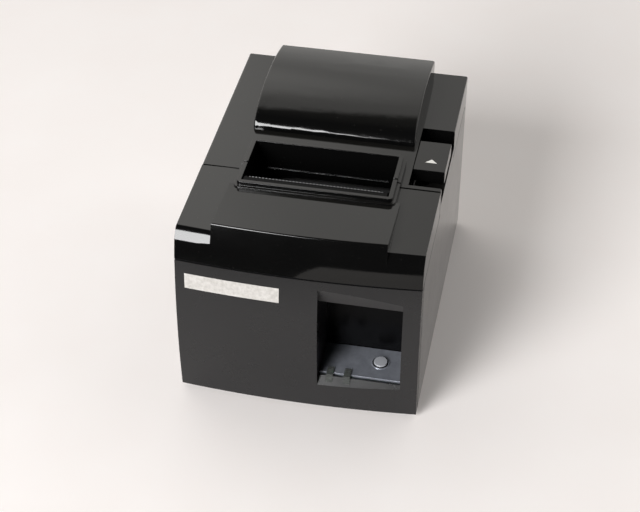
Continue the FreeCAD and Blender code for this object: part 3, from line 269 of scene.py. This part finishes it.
# Half lacquer, half flake: a cool grey with a soft sheen along its front edge.
plate_lacquer = silver("silver lacquer on ABS", "#989ca6", "#acb0ba", patch_mm=5.0, metal=0.6, gloss=0.28,
                       haze=0.38)
# Pale and cloudy, with the mottling of a foil that was peeled and pressed back.
strip_foil = silver("worn silver foil", "#bfbcb7", "#d9d6d2", patch_mm=2.2, metal=0.25, gloss=0.4,
                    haze=0.55)
print("silver finishes ready")

# %% [markdown]
# Bare metals differ mostly in how they were worked. Sheet steel is zinc plated and cloudy, shafts and
# blades are ground along their length, and the heat sink is drawn aluminium. Stretching a noise along one
# axis gives the fine parallel lines of grinding or drawing. The lines are drawn wider than life, so that
# they show.

# %% Metal recipe
MILL_DEPTH = 0.05 * MM
MILL_RELIEF = 0.1


def worked_metal(name, dark, bright, line_mm, stretch, gloss, haze):
    """Metal with lines line_mm apart. A small factor in stretch draws them out along that axis."""
    material, tree, shader, place = new_finish(name)
    laid = add(tree, "ShaderNodeMapping", Vector=place, Scale=stretch)
    lines = add(tree, "ShaderNodeTexNoise", Vector=laid.outputs[0], Scale=per_mm(line_mm), Detail=3.0)
    colour = add(tree, "ShaderNodeMix", {"data_type": "RGBA"}, Factor=lines.outputs["Fac"],
                 i6=tint(dark), i7=tint(bright))
    rough = add(tree, "ShaderNodeMapRange", Value=lines.outputs["Fac"], i1=NOISE_LOW, i2=NOISE_HIGH,
                i3=gloss, i4=haze)
    bump = add(tree, "ShaderNodeBump", Height=lines.outputs["Fac"], Strength=MILL_RELIEF,
               Distance=MILL_DEPTH)
    tree.links.new(colour.outputs[2], shader.inputs["Base Color"])
    tree.links.new(rough.outputs[0], shader.inputs["Roughness"])
    tree.links.new(bump.outputs["Normal"], shader.inputs["Normal"])
    shader.inputs["Metallic"].default_value = 1.0
    return material


print("metal recipe ready")

# %% [markdown]
# Inside, the printer is mostly folded sheet, ground shafts and blades, a drawn heat sink and two motors.
# Each line below is one of them, with the width of its lines and the way that they run.

# %% Metals of the mechanism
# Plated and cloudy: patches of two greys, with no direction.
zinc_sheet = worked_metal("zinc plated sheet steel", "#9a9b9d", "#b9babb", line_mm=5.0, stretch=(1, 1, 1),
                          gloss=0.3, haze=0.45)
# Ground along the length: fine bright lines across the printer.
ground_steel = worked_metal("ground steel", "#b4b5b7", "#d2d3d4", line_mm=0.6, stretch=(0.06, 1, 1),
                            gloss=0.2, haze=0.32)
# Drawn through a die: softer lines, a little duller than steel.
drawn_aluminium = worked_metal("drawn aluminium", "#b7b8ba", "#d0d1d2", line_mm=0.7, stretch=(0.05, 1, 1),
                               gloss=0.3, haze=0.42)
# Deep drawn and plated dark: faint rings round the can.
motor_can = worked_metal("plated motor can", "#6f7072", "#8d8e90", line_mm=1.2, stretch=(1, 0.3, 0.3),
                         gloss=0.28, haze=0.4)
# Pressed powder: warm, dull and porous.
bronze_bush = worked_metal("sintered bronze", "#8a6a3c", "#b08a52", line_mm=0.8, stretch=(1, 1, 1),
                           gloss=0.4, haze=0.55)
print("plain metals ready")

# %% [markdown]
# The tear bar is a blackened steel strip whose toothed edge was ground bare between its two ends. One
# material can hold both finishes: the place across the strip decides which of the two colours shows.

# %% Tear bar steel
TEETH_FROM_Y = -40.0
TEETH_TO_X = 39.0
GROUND_FADE = 0.3
MILL_GRAIN_MM = 0.8

# Black, with a thin grey line along the teeth.
tear_steel, tree, shader, place = new_finish("blackened steel, ground edge")
across = add(tree, "ShaderNodeSeparateXYZ", Vector=place)
mill = add(tree, "ShaderNodeTexNoise", Vector=place, Scale=per_mm(MILL_GRAIN_MM), Detail=3.0)
bare = add(tree, "ShaderNodeMapRange", Value=across.outputs["Y"], i1=TEETH_FROM_Y * MM,
           i2=(TEETH_FROM_Y + GROUND_FADE) * MM, i3=0.0, i4=1.0)
aside = add(tree, "ShaderNodeMath", {"operation": "ABSOLUTE"}, i0=across.outputs["X"])
between = add(tree, "ShaderNodeMath", {"operation": "LESS_THAN"}, i0=aside.outputs[0], i1=TEETH_TO_X * MM)
ground = add(tree, "ShaderNodeMath", {"operation": "MULTIPLY"}, i0=bare.outputs[0], i1=between.outputs[0])
shade = add(tree, "ShaderNodeMix", {"data_type": "RGBA"}, Factor=ground.outputs[0],
            i6=tint("#111112"), i7=tint("#a9aaad"))
rough = add(tree, "ShaderNodeMapRange", Value=mill.outputs["Fac"], i1=NOISE_LOW, i2=NOISE_HIGH,
            i3=0.28, i4=0.4)
tree.links.new(shade.outputs[2], shader.inputs["Base Color"])
tree.links.new(rough.outputs[0], shader.inputs["Roughness"])
shader.inputs["Metallic"].default_value = 1.0
print("tear bar ground from y", TEETH_FROM_Y, "mm")

# %% [markdown]
# What is left: rubber on the roller and the feet, the glazed ceramic of the print head, green circuit board
# with its copper tracks showing as faint steps, and the clear acrylic of the light pipes. The first three
# are moulded finishes with other numbers. The acrylic lets light through, and only its roughness changes.

# %% Rubber, ceramic, board and acrylic
ACRYLIC_IOR = 1.49
ACRYLIC_SWIRL_MM = 2.0

# Buffed rubber: no mirror at all, a fine nap.
rubber = moulded("nitrile rubber", "#161616", "#3a3938", gloss=0.6, haze=0.78, pebble_mm=0.35, relief=0.5)
# Glass fired on ceramic: smooth and brown.
head_glaze = moulded("glazed alumina", "#7a5a48", "#a08472", gloss=0.12, haze=0.2, pebble_mm=0.8,
                     relief=0.05)
# Lacquer over copper: satin green with faint steps.
board_mask = moulded("green solder mask", "#12512f", "#7fae8c", gloss=0.25, haze=0.4, pebble_mm=1.2,
                     relief=0.4)
# Moulded clear: pale, with faint frosted swirls.
pipe_acrylic, tree, shader, place = new_finish("clear acrylic")
swirl = add(tree, "ShaderNodeTexNoise", Vector=place, Scale=per_mm(ACRYLIC_SWIRL_MM), Detail=2.0)
frost = add(tree, "ShaderNodeMapRange", Value=swirl.outputs["Fac"], i1=NOISE_LOW, i2=NOISE_HIGH,
            i3=0.05, i4=0.14)
tree.links.new(frost.outputs[0], shader.inputs["Roughness"])
shader.inputs["Base Color"].default_value = tint("#ccd1cd")
shader.inputs["Transmission Weight"].default_value = 0.9
shader.inputs["IOR"].default_value = ACRYLIC_IOR
print("last finishes ready")

# %% [markdown]
# Each slot of the record now gets its finish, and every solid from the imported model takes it. Three solids
# differ from the rest of their slot. Solids that keep their own mesh only change material here.

# %% Finish for every slot
finish_of_slot = {
    "case_black": case_abs, "cover_black": cover_abs, "front_grey": panel_abs,
    "plate_silver": plate_lacquer, "clear_pipe": pipe_acrylic, "button_grey": button_abs,
    "nameplate_silver": strip_foil, "steel": zinc_sheet, "blade_steel": ground_steel,
    "sink_aluminium": drawn_aluminium, "head_ceramic": head_glaze, "platen_rubber": rubber,
    "foot_rubber": rubber, "gear_white": gear_acetal, "board_green": board_mask,
    "motor_steel": motor_can, "supply_steel": zinc_sheet, "socket_black": socket_nylon,
    "bush_bronze": bronze_bush,
}
finish_of_node = {"roll_bay": bay_abs, "base_tray": bay_abs, "tear_bar": tear_steel}
for node_name, node in frame["nodes"].items():
    chosen = finish_of_node.get(node_name, finish_of_slot[slot_of_node[node_name]])
    node.data.materials.clear()
    node.data.materials.append(chosen)
print("finishes given to", len(frame["nodes"]), "solids")

# %% [markdown]
# A new piece always needs the same last steps: a mesh, its materials and a body to ride on.
# Rounding edges and smooth shading come up again and again too, so each has one small function.

# %% Helpers for pieces
def finish_piece(work, piece_name, materials, body_name):
    """Mesh object from a bmesh, at the origin, riding on a body."""
    mesh = bpy.data.meshes.new(piece_name)
    work.to_mesh(mesh)
    work.free()
    for material in materials:
        mesh.materials.append(material)
    piece = bpy.data.objects.new(piece_name, mesh)
    bpy.context.scene.collection.objects.link(piece)
    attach(piece, body_name)
    print(piece_name, len(mesh.polygons), "faces on", body_name)
    return piece


def round_edges(work, edges, round_mm, segments, clamp=False):
    """Bevel of the given edges, in millimetres."""
    bmesh.ops.bevel(work, geom=list(edges), offset=round_mm * MM, offset_type="OFFSET", affect="EDGES",
                    segments=segments, profile=0.5, material=-1, clamp_overlap=clamp)


def bends_more(edge, angle):
    """True where two faces meet at an edge by more than that angle."""
    return len(edge.link_faces) == 2 and edge.calc_face_angle(0) > angle


def shade_smooth(work, angle):
    """Smooth shading, apart from the edges that bend by more than that angle."""
    for face in work.faces:
        face.smooth = True
    for edge in work.edges:
        edge.smooth = not bends_more(edge, angle)


print("piece helpers ready")

# %% [markdown]
# A moulding never has a knife edge. The solids are sharp, so the pieces the eye meets first are copied,
# welded, cleaned of needless edges and bevelled by a few tenths of a millimetre. That narrow round is what
# catches the thin bright lines along the edges of the real printer. Edges at a known height are rounded
# first, so that the small faces elsewhere don't limit them.

# %% Softening recipe
SHARP = math.radians(24)
CREASE = math.radians(40)
COPLANAR = math.radians(0.6)
WELD = 0.002 * MM
SAME_LEVEL = 0.01 * MM
FLAT_WEIGHT = 90
WIDE_SEGMENTS = 4
PLAIN_SEGMENTS = 3


def soften(node_name, round_mm, first_edges=()):
    """Welded, bevelled copy of a solid that stands in for it. First edges are (height, round) pairs."""
    source = frame["nodes"][node_name]
    work = bmesh.new()
    work.from_mesh(source.data)
    bmesh.ops.remove_doubles(work, verts=work.verts, dist=WELD)
    bmesh.ops.dissolve_limit(work, angle_limit=COPLANAR, verts=work.verts, edges=work.edges)
    for height_mm, wide_mm in first_edges:
        level = [e for e in work.edges if all(abs(v.co.z - height_mm * MM) < SAME_LEVEL for v in e.verts)]
        round_edges(work, [e for e in level if bends_more(e, SHARP)], wide_mm, WIDE_SEGMENTS, clamp=True)
    sharp = [e for e in work.edges if bends_more(e, SHARP)]
    round_edges(work, sharp, round_mm, PLAIN_SEGMENTS, clamp=True)
    shade_smooth(work, CREASE)
    piece = finish_piece(work, node_name + "_moulding", list(source.data.materials),
                         body_of_node[node_name])
    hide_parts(node_name)
    # Large flat faces keep their own direction, and only the narrow rounds bend the light.
    flat = piece.modifiers.new("flat faces stay flat", "WEIGHTED_NORMAL")
    flat.keep_sharp = True
    flat.weight = FLAT_WEIGHT
    return piece


print("softening recipe ready")

# %% [markdown]
# How round an edge is depends on the tool. The lids get their creases first, each at its own height, and
# then a plain round everywhere else. The crease of the raised panel has the widest round, because it shows
# the brightest line. The other mouldings only get the plain round.

# %% Softened copies of the visible mouldings
# Heights of edges on the lids and the round that each gets, in millimetres.
RIM_TOP_Z = 122.8
RIM_STEP_Z = 120.2
PANEL_TOP_Z = 123.0
SHOULDER_TOP_Z = 117.0
RIM_EDGES = ((RIM_TOP_Z, 0.3), (RIM_STEP_Z, 0.25))
PANEL_EDGES = ((PANEL_TOP_Z, 0.8), (SHOULDER_TOP_Z, 0.5))
MOULDINGS = (
    ("rear_cover", 0.45, RIM_EDGES),
    ("front_cover", 0.5, PANEL_EDGES + RIM_EDGES),
    ("case_shell", 0.4, ()),
    ("open_lever", 0.5, ()),
    ("control_plate", 0.2, ()),
    ("power_rocker", 0.3, ()),
)
for node_name, round_mm, first_edges in MOULDINGS:
    soften(node_name, round_mm, first_edges)

# %% [markdown]
# The front panel is one moulding with two textures: spark texture outside, a smooth finish inside the
# niche, coloured much darker as painted shade of the recess. Faces that lie inside the niche's box take the
# second finish, so no second piece is needed.

# %% Front panel
PANEL_ROUND = 0.4
NICHE_LOW = Vector((12.2, -91.5, 26.0)) * MM
NICHE_HIGH = Vector((61.3, -60.0, 88.0)) * MM
panel = soften("front_panel", PANEL_ROUND)
# The niche's faces take the darker finish, which is painted shade.
panel.data.materials.append(shaded_niche_abs)
niche_faces = 0
for face in panel.data.polygons:
    if all(low < value < high for low, value, high in zip(NICHE_LOW, face.center, NICHE_HIGH)):
        face.material_index = 1
        niche_faces += 1
print("niche faces", niche_faces)

# %% [markdown]
# The feed button is a pale cap set in a dark collar, with a groove between them. Anything round is quickest
# as a spin: draw half of the outline once, and turn it about the middle. The button stands on the sloped
# plate, so the finished shape is tilted and moved to its place in the mesh.

# %% Feed button
BUTTON_AT = Vector((47.0, -79.25, 27.31)) * MM
BUTTON_TILT = math.radians(4)
BUTTON_STEPS = 64
BUTTON_CREASE = math.radians(35)
POLE_WELD = 0.001 * MM
# Faces further out than this belong to the dark collar.
CAP_RADIUS = 3.95
COLLAR_OUTLINE = ((0.0, -1.0), (4.38, -1.0), (4.38, 0.42), (4.3, 0.5), (4.02, 0.5), (3.97, 0.35))
CAP_OUTLINE = ((3.92, 1.1), (3.75, 1.32), (3.4, 1.36), (0.0, 1.4))


def spun(outline, steps):
    """Closed round shape from half an outline of (radius, height) in millimetres."""
    work = bmesh.new()
    ring = [work.verts.new((radius * MM, 0, height * MM)) for radius, height in outline]
    for first, second in zip(ring, ring[1:]):
        work.edges.new((first, second))
    bmesh.ops.spin(work, geom=work.verts[:] + work.edges[:], cent=(0, 0, 0), axis=(0, 0, 1),
                   dvec=(0, 0, 0), angle=2 * math.pi, steps=steps, use_merge=True,
                   use_normal_flip=False, use_duplicate=False)
    bmesh.ops.remove_doubles(work, verts=work.verts, dist=POLE_WELD)
    bmesh.ops.recalc_face_normals(work, faces=work.faces)
    shade_smooth(work, BUTTON_CREASE)
    return work


work = spun(COLLAR_OUTLINE + CAP_OUTLINE, BUTTON_STEPS)
for face in work.faces:
    middle = face.calc_center_median()
    if math.hypot(middle.x, middle.y) > CAP_RADIUS * MM:
        face.material_index = 1
seat = Matrix.Translation(BUTTON_AT) @ Matrix.Rotation(BUTTON_TILT, 4, "X")
bmesh.ops.transform(work, matrix=seat, verts=work.verts)
button = finish_piece(work, "feed_button_cap", [button_abs, socket_nylon], body_of_node["feed_button"])
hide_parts("feed_button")

# %% [markdown]
# The release lever carries one printed mark, a plain triangle that points the way to push. A print has
# almost no thickness, so it is a thin prism that sits on the lever's top face.

# %% Arrow on the lever
ARROW_CORNERS = ((57.8, 1.5), (64.9, 1.5), (61.4, 5.0))
INK_THICKNESS = 0.04 * MM
lever_top_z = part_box("open_lever")[1][2]
work = bmesh.new()
triangle = work.faces.new([work.verts.new((x * MM, y * MM, lever_top_z)) for x, y in ARROW_CORNERS])
raised = bmesh.ops.extrude_face_region(work, geom=[triangle])["geom"]
raised_points = [part for part in raised if isinstance(part, bmesh.types.BMVert)]
bmesh.ops.translate(work, vec=(0, 0, INK_THICKNESS), verts=raised_points)
bmesh.ops.recalc_face_normals(work, faces=work.faces)
finish_piece(work, "lever_arrow", [arrow_ink], body_of_node["open_lever"])

# %% [markdown]
# At the bottom of the paper recess a bright steel edge guides the strip out. It is a narrow bar along the
# lower edge of the lid's wall, shorter than the recess. A cube stretched to size, with its edges rounded,
# is enough.

# %% Guide edge in the recess
GUIDE_AT = (0, -4.25, 103.7)
GUIDE_SIZE = (74, 0.5, 0.6)
GUIDE_ROUND = 0.15


def bar(work, centre, size, round_mm):
    """Box with rounded edges, given by its middle and its size in millimetres."""
    made = bmesh.ops.create_cube(work, size=1.0)["verts"]
    bmesh.ops.scale(work, vec=Vector(size) * MM, verts=made)
    bmesh.ops.translate(work, vec=Vector(centre) * MM, verts=made)
    edges = dict.fromkeys(e for v in made for e in v.link_edges)
    round_edges(work, edges, round_mm, 2)


work = bmesh.new()
bar(work, GUIDE_AT, GUIDE_SIZE, GUIDE_ROUND)
finish_piece(work, "paper_guide_edge", [ground_steel], body_of_node["rear_cover"])

# %% [markdown]
# Sockets look empty without their contacts. The mains inlet has three round pins with softened ends. A
# pin is a cone operator with two equal radii, placed three times and measured from the middle of the inlet.

# %% Pins of the mains inlet
CONTACT_Y = 92.4
CONTACT_LENGTH = 6.6
INLET_PIN_STEPS = ((-4.2, -2.0), (4.2, -2.0), (0.0, 2.6))
INLET_PIN_RADIUS = 1.2
INLET_PIN_ROUND = 0.3
INLET_PIN_SIDES = 24


def pin(work, centre, radius, length):
    """Round pin along Y with bevelled ends, given by its middle."""
    turn = Matrix.Translation(Vector(centre) * MM) @ Matrix.Rotation(math.radians(90), 4, "X")
    made = bmesh.ops.create_cone(work, cap_ends=True, segments=INLET_PIN_SIDES, radius1=radius * MM,
                                 radius2=radius * MM, depth=length * MM, matrix=turn)["verts"]
    edges = dict.fromkeys(e for v in made for e in v.link_edges)
    ends = [e for e in edges if abs(e.verts[0].co.y - e.verts[1].co.y) < SAME_LEVEL]
    round_edges(work, ends, INLET_PIN_ROUND, 2)


def middle_of(node_name):
    """Middle of a solid's box, in millimetres."""
    low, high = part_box(node_name)
    return [(a + b) / 2 / MM for a, b in zip(low, high)]


inlet_x, _, inlet_z = middle_of("power_inlet")
work = bmesh.new()
for step_x, step_z in INLET_PIN_STEPS:
    pin(work, (inlet_x + step_x, CONTACT_Y, inlet_z + step_z), INLET_PIN_RADIUS, CONTACT_LENGTH)
finish_piece(work, "inlet_pins", [ground_steel], body_of_node["power_inlet"])

# %% [markdown]
# The drawer socket has six flat spring wires side by side, and the data socket has a plastic tongue. Both
# are bars like the guide edge, so the same small function makes them.

# %% Wires and tongue of the other sockets
DRAWER_WIRES = 6
DRAWER_PITCH = 1.27
DRAWER_WIRE_UP = 3.6
DRAWER_WIRE_SIZE = (0.5, 5.6, 0.45)
DRAWER_WIRE_ROUND = 0.08
DRAWER_WIRE_Y = 92.0
TONGUE_SIZE = (5.6, CONTACT_LENGTH, 2.6)
TONGUE_ROUND = 0.25

drawer_x, _, drawer_z = middle_of("drawer_socket")
work = bmesh.new()
for n in range(DRAWER_WIRES):
    wire_x = drawer_x + (n - (DRAWER_WIRES - 1) / 2) * DRAWER_PITCH
    wire_at = (wire_x, DRAWER_WIRE_Y, drawer_z + DRAWER_WIRE_UP)
    bar(work, wire_at, DRAWER_WIRE_SIZE, DRAWER_WIRE_ROUND)
finish_piece(work, "drawer_contacts", [bronze_bush], body_of_node["drawer_socket"])

data_x, _, data_z = middle_of("data_socket")
work = bmesh.new()
bar(work, (data_x, CONTACT_Y, data_z), TONGUE_SIZE, TONGUE_ROUND)
finish_piece(work, "data_tongue", [gear_acetal], body_of_node["data_socket"])

# %% [markdown]
# A pale table, a bright far wall and one window light the printer. Glossy black plastic is mostly a mirror,
# so the room matters more than its colour. The flat lids mirror the bright wall behind and read as grey. The
# steep nose and the front of the hump mirror the dark side of the room behind the camera and read as black.
#
# The table comes first. It ends not far ahead of the printer on the left, which is why the nose stays
# black down to its seam there, and the grey patch on the right of the nose is its mirror image.

# %% Table
TABLE_HALF = 4.0
TABLE_FRONT_Y = -0.55
TABLE_STEP_X = -0.04
TABLE_STEP_Y = -0.29
TABLE_CUTS = (
    ((TABLE_STEP_X, 0, 0), (1, 0, 0)),
    ((0, TABLE_STEP_Y, 0), (0, 1, 0)),
    ((0, TABLE_FRONT_Y, 0), (0, 1, 0)),
)

work = bmesh.new()
bmesh.ops.create_grid(work, x_segments=1, y_segments=1, size=TABLE_HALF)
for point, normal in TABLE_CUTS:
    everything = work.verts[:] + work.edges[:] + work.faces[:]
    bmesh.ops.bisect_plane(work, geom=everything, plane_co=point, plane_no=normal)
gone = []
for face in work.faces:
    middle = face.calc_center_median()
    if middle.y < TABLE_FRONT_Y or (middle.x < TABLE_STEP_X and middle.y < TABLE_STEP_Y):
        gone.append(face)
bmesh.ops.delete(work, geom=gone, context="FACES")
floor_mesh = bpy.data.meshes.new("floor")
work.to_mesh(floor_mesh)
work.free()
floor = bpy.data.objects.new("floor", floor_mesh)
bpy.context.scene.collection.objects.link(floor)
print("table of", len(floor_mesh.polygons), "faces")

# %% [markdown]
# The table is painted nearly white. Its front strip is greyer in mirrors, so that its image in the nose
# stays dim. A camera that is set for the black printer shows the table a little too light, and a faint glow
# that only the camera, mirrors and clear plastic see does the same.

# %% Table paint
STRIP_FADE = 0.03
TABLE_GRAIN_MM = 60
TABLE_GLOW = 0.11

# Flat emulsion: warm white, with slow soft changes of shade.
table_paint, tree, shader, place = new_finish("pale table paint")
ray = add(tree, "ShaderNodeLightPath")
grain = add(tree, "ShaderNodeTexNoise", Vector=place, Scale=per_mm(TABLE_GRAIN_MM), Detail=3.0)
white = add(tree, "ShaderNodeMix", {"data_type": "RGBA"}, Factor=grain.outputs["Fac"],
            i6=tint("#f1ebe8"), i7=tint("#f7f2f0"))
along = add(tree, "ShaderNodeSeparateXYZ", Vector=place)
strip = add(tree, "ShaderNodeMapRange", Value=along.outputs["Y"], i1=TABLE_STEP_Y,
            i2=TABLE_STEP_Y + STRIP_FADE, i3=1.0, i4=0.0)
mirrored = add(tree, "ShaderNodeMath", {"operation": "SUBTRACT", "use_clamp": True}, i0=strip.outputs[0],
               i1=ray.outputs["Is Camera Ray"])
pale = add(tree, "ShaderNodeMix", {"data_type": "RGBA"}, Factor=mirrored.outputs[0], i6=white.outputs[2],
           i7=tint("#aeaaa6"))
direct = add(tree, "ShaderNodeMath", {"operation": "MAXIMUM"}, i0=ray.outputs["Is Camera Ray"],
             i1=ray.outputs["Is Glossy Ray"])
seen = add(tree, "ShaderNodeMath", {"operation": "MAXIMUM"}, i0=direct.outputs[0],
           i1=ray.outputs["Is Transmission Ray"])
glow = add(tree, "ShaderNodeMath", {"operation": "MULTIPLY"}, i0=seen.outputs[0], i1=TABLE_GLOW)
tree.links.new(pale.outputs[2], shader.inputs["Base Color"])
tree.links.new(pale.outputs[2], shader.inputs["Emission Color"])
tree.links.new(glow.outputs[0], shader.inputs["Emission Strength"])
shader.inputs["Roughness"].default_value = 0.85
floor_mesh.materials.append(table_paint)
print("table painted")

# %% [markdown]
# The room is a world shader: brightness by direction. A dot product with one direction is 1 where a ray
# looks that way and falls off around it. One draws the dark side of the room, and another an opening behind
# on the left, which lightens that side of the lids. How far a ray looks to the right adds a nearer wall,
# which makes the dark side reach further round. Seen straight past the table, the room is as pale as the
# table.

# %% Room
DARK_SIDE = (0.05, -0.905, 0.423)
DARK_FROM = 0.18
DARK_FULL = 0.36
ROOM_LIGHT = 0.76
ROOM_DARK = 0.02
ROOM_SHOWN = 0.84
OPENING_SIDE = (-0.513, 0.612, 0.602)
OPENING_FROM = 0.89
OPENING_FULL = 0.95
OPENING_LIGHT = 0.5
# The nearer wall comes in over the first pair of X values and goes out over the second.
WALL_IN = (-0.2, -0.08)
WALL_OUT = (0.1, 0.35)
WALL_DARKENS = 0.26

world = bpy.data.worlds.new("room")
bpy.context.scene.world = world
world.use_nodes = True
tree = world.node_tree
tree.nodes.clear()
towards = add(tree, "ShaderNodeTexCoord").outputs["Generated"]
facing = add(tree, "ShaderNodeVectorMath", {"operation": "DOT_PRODUCT"}, i0=towards, i1=DARK_SIDE)
rightward = add(tree, "ShaderNodeSeparateXYZ", Vector=towards)
nearer = add(tree, "ShaderNodeMapRange", Value=rightward.outputs["X"], i1=WALL_IN[0], i2=WALL_IN[1],
             i3=0.0, i4=WALL_DARKENS)
ending = add(tree, "ShaderNodeMapRange", Value=rightward.outputs["X"], i1=WALL_OUT[0], i2=WALL_OUT[1],
             i3=1.0, i4=0.0)
darker = add(tree, "ShaderNodeMath", {"operation": "MULTIPLY_ADD"}, i0=nearer.outputs[0],
             i1=ending.outputs[0], i2=facing.outputs["Value"])
level = add(tree, "ShaderNodeMapRange", {"interpolation_type": "SMOOTHSTEP"}, Value=darker.outputs[0],
            i1=DARK_FROM, i2=DARK_FULL, i3=ROOM_LIGHT, i4=ROOM_DARK)
sideways = add(tree, "ShaderNodeVectorMath", {"operation": "DOT_PRODUCT"}, i0=towards, i1=OPENING_SIDE)
opening = add(tree, "ShaderNodeMapRange", {"interpolation_type": "SMOOTHSTEP"},
              Value=sideways.outputs["Value"], i1=OPENING_FROM, i2=OPENING_FULL, i3=0.0, i4=OPENING_LIGHT)
both = add(tree, "ShaderNodeMath", {"operation": "ADD"}, i0=level.outputs[0], i1=opening.outputs[0])
straight = add(tree, "ShaderNodeLightPath").outputs["Is Camera Ray"]
shown = add(tree, "ShaderNodeMix", {"data_type": "FLOAT"}, Factor=straight, i2=both.outputs[0],
            i3=ROOM_SHOWN)
sky = add(tree, "ShaderNodeBackground", Color=tint("#fffdf9"), Strength=shown.outputs[0])
add(tree, "ShaderNodeOutputWorld", Surface=sky.outputs[0])
print("room of", len(tree.nodes), "nodes")

# %% [markdown]
# One window at front left is the lamp. It gives the soft shadow on the right, the white flash on the left
# shoulder, the white wedge at the foot of the hump and the thin line along the panel's crease. An area lamp
# is the simplest window: a rectangle of even light. It leans, because the edges of those flashes do.

# %% Window
WINDOW_AT = Vector((-1.62, -3.28, 1.76))
WINDOW_TOWARDS = Vector((0, 0, 0.1))
WINDOW_WIDTH = 1.8
WINDOW_HEIGHT = 2.8
WINDOW_POWER = 230
WINDOW_LEAN = math.radians(26)

lamp_data = bpy.data.lights.new("window", "AREA")
lamp_data.shape = "RECTANGLE"
lamp_data.size = WINDOW_WIDTH
lamp_data.size_y = WINDOW_HEIGHT
lamp_data.energy = WINDOW_POWER
lamp = bpy.data.objects.new("window", lamp_data)
aim = (WINDOW_TOWARDS - WINDOW_AT).to_track_quat("-Z", "Y").to_matrix()
lean = Matrix.Rotation(WINDOW_LEAN, 3, "Z")
lamp.matrix_world = Matrix.Translation(WINDOW_AT) @ (aim @ lean).to_4x4()
bpy.context.scene.collection.objects.link(lamp)
bpy.context.scene.view_settings.view_transform = "Standard"
print("window of", WINDOW_POWER, "W")
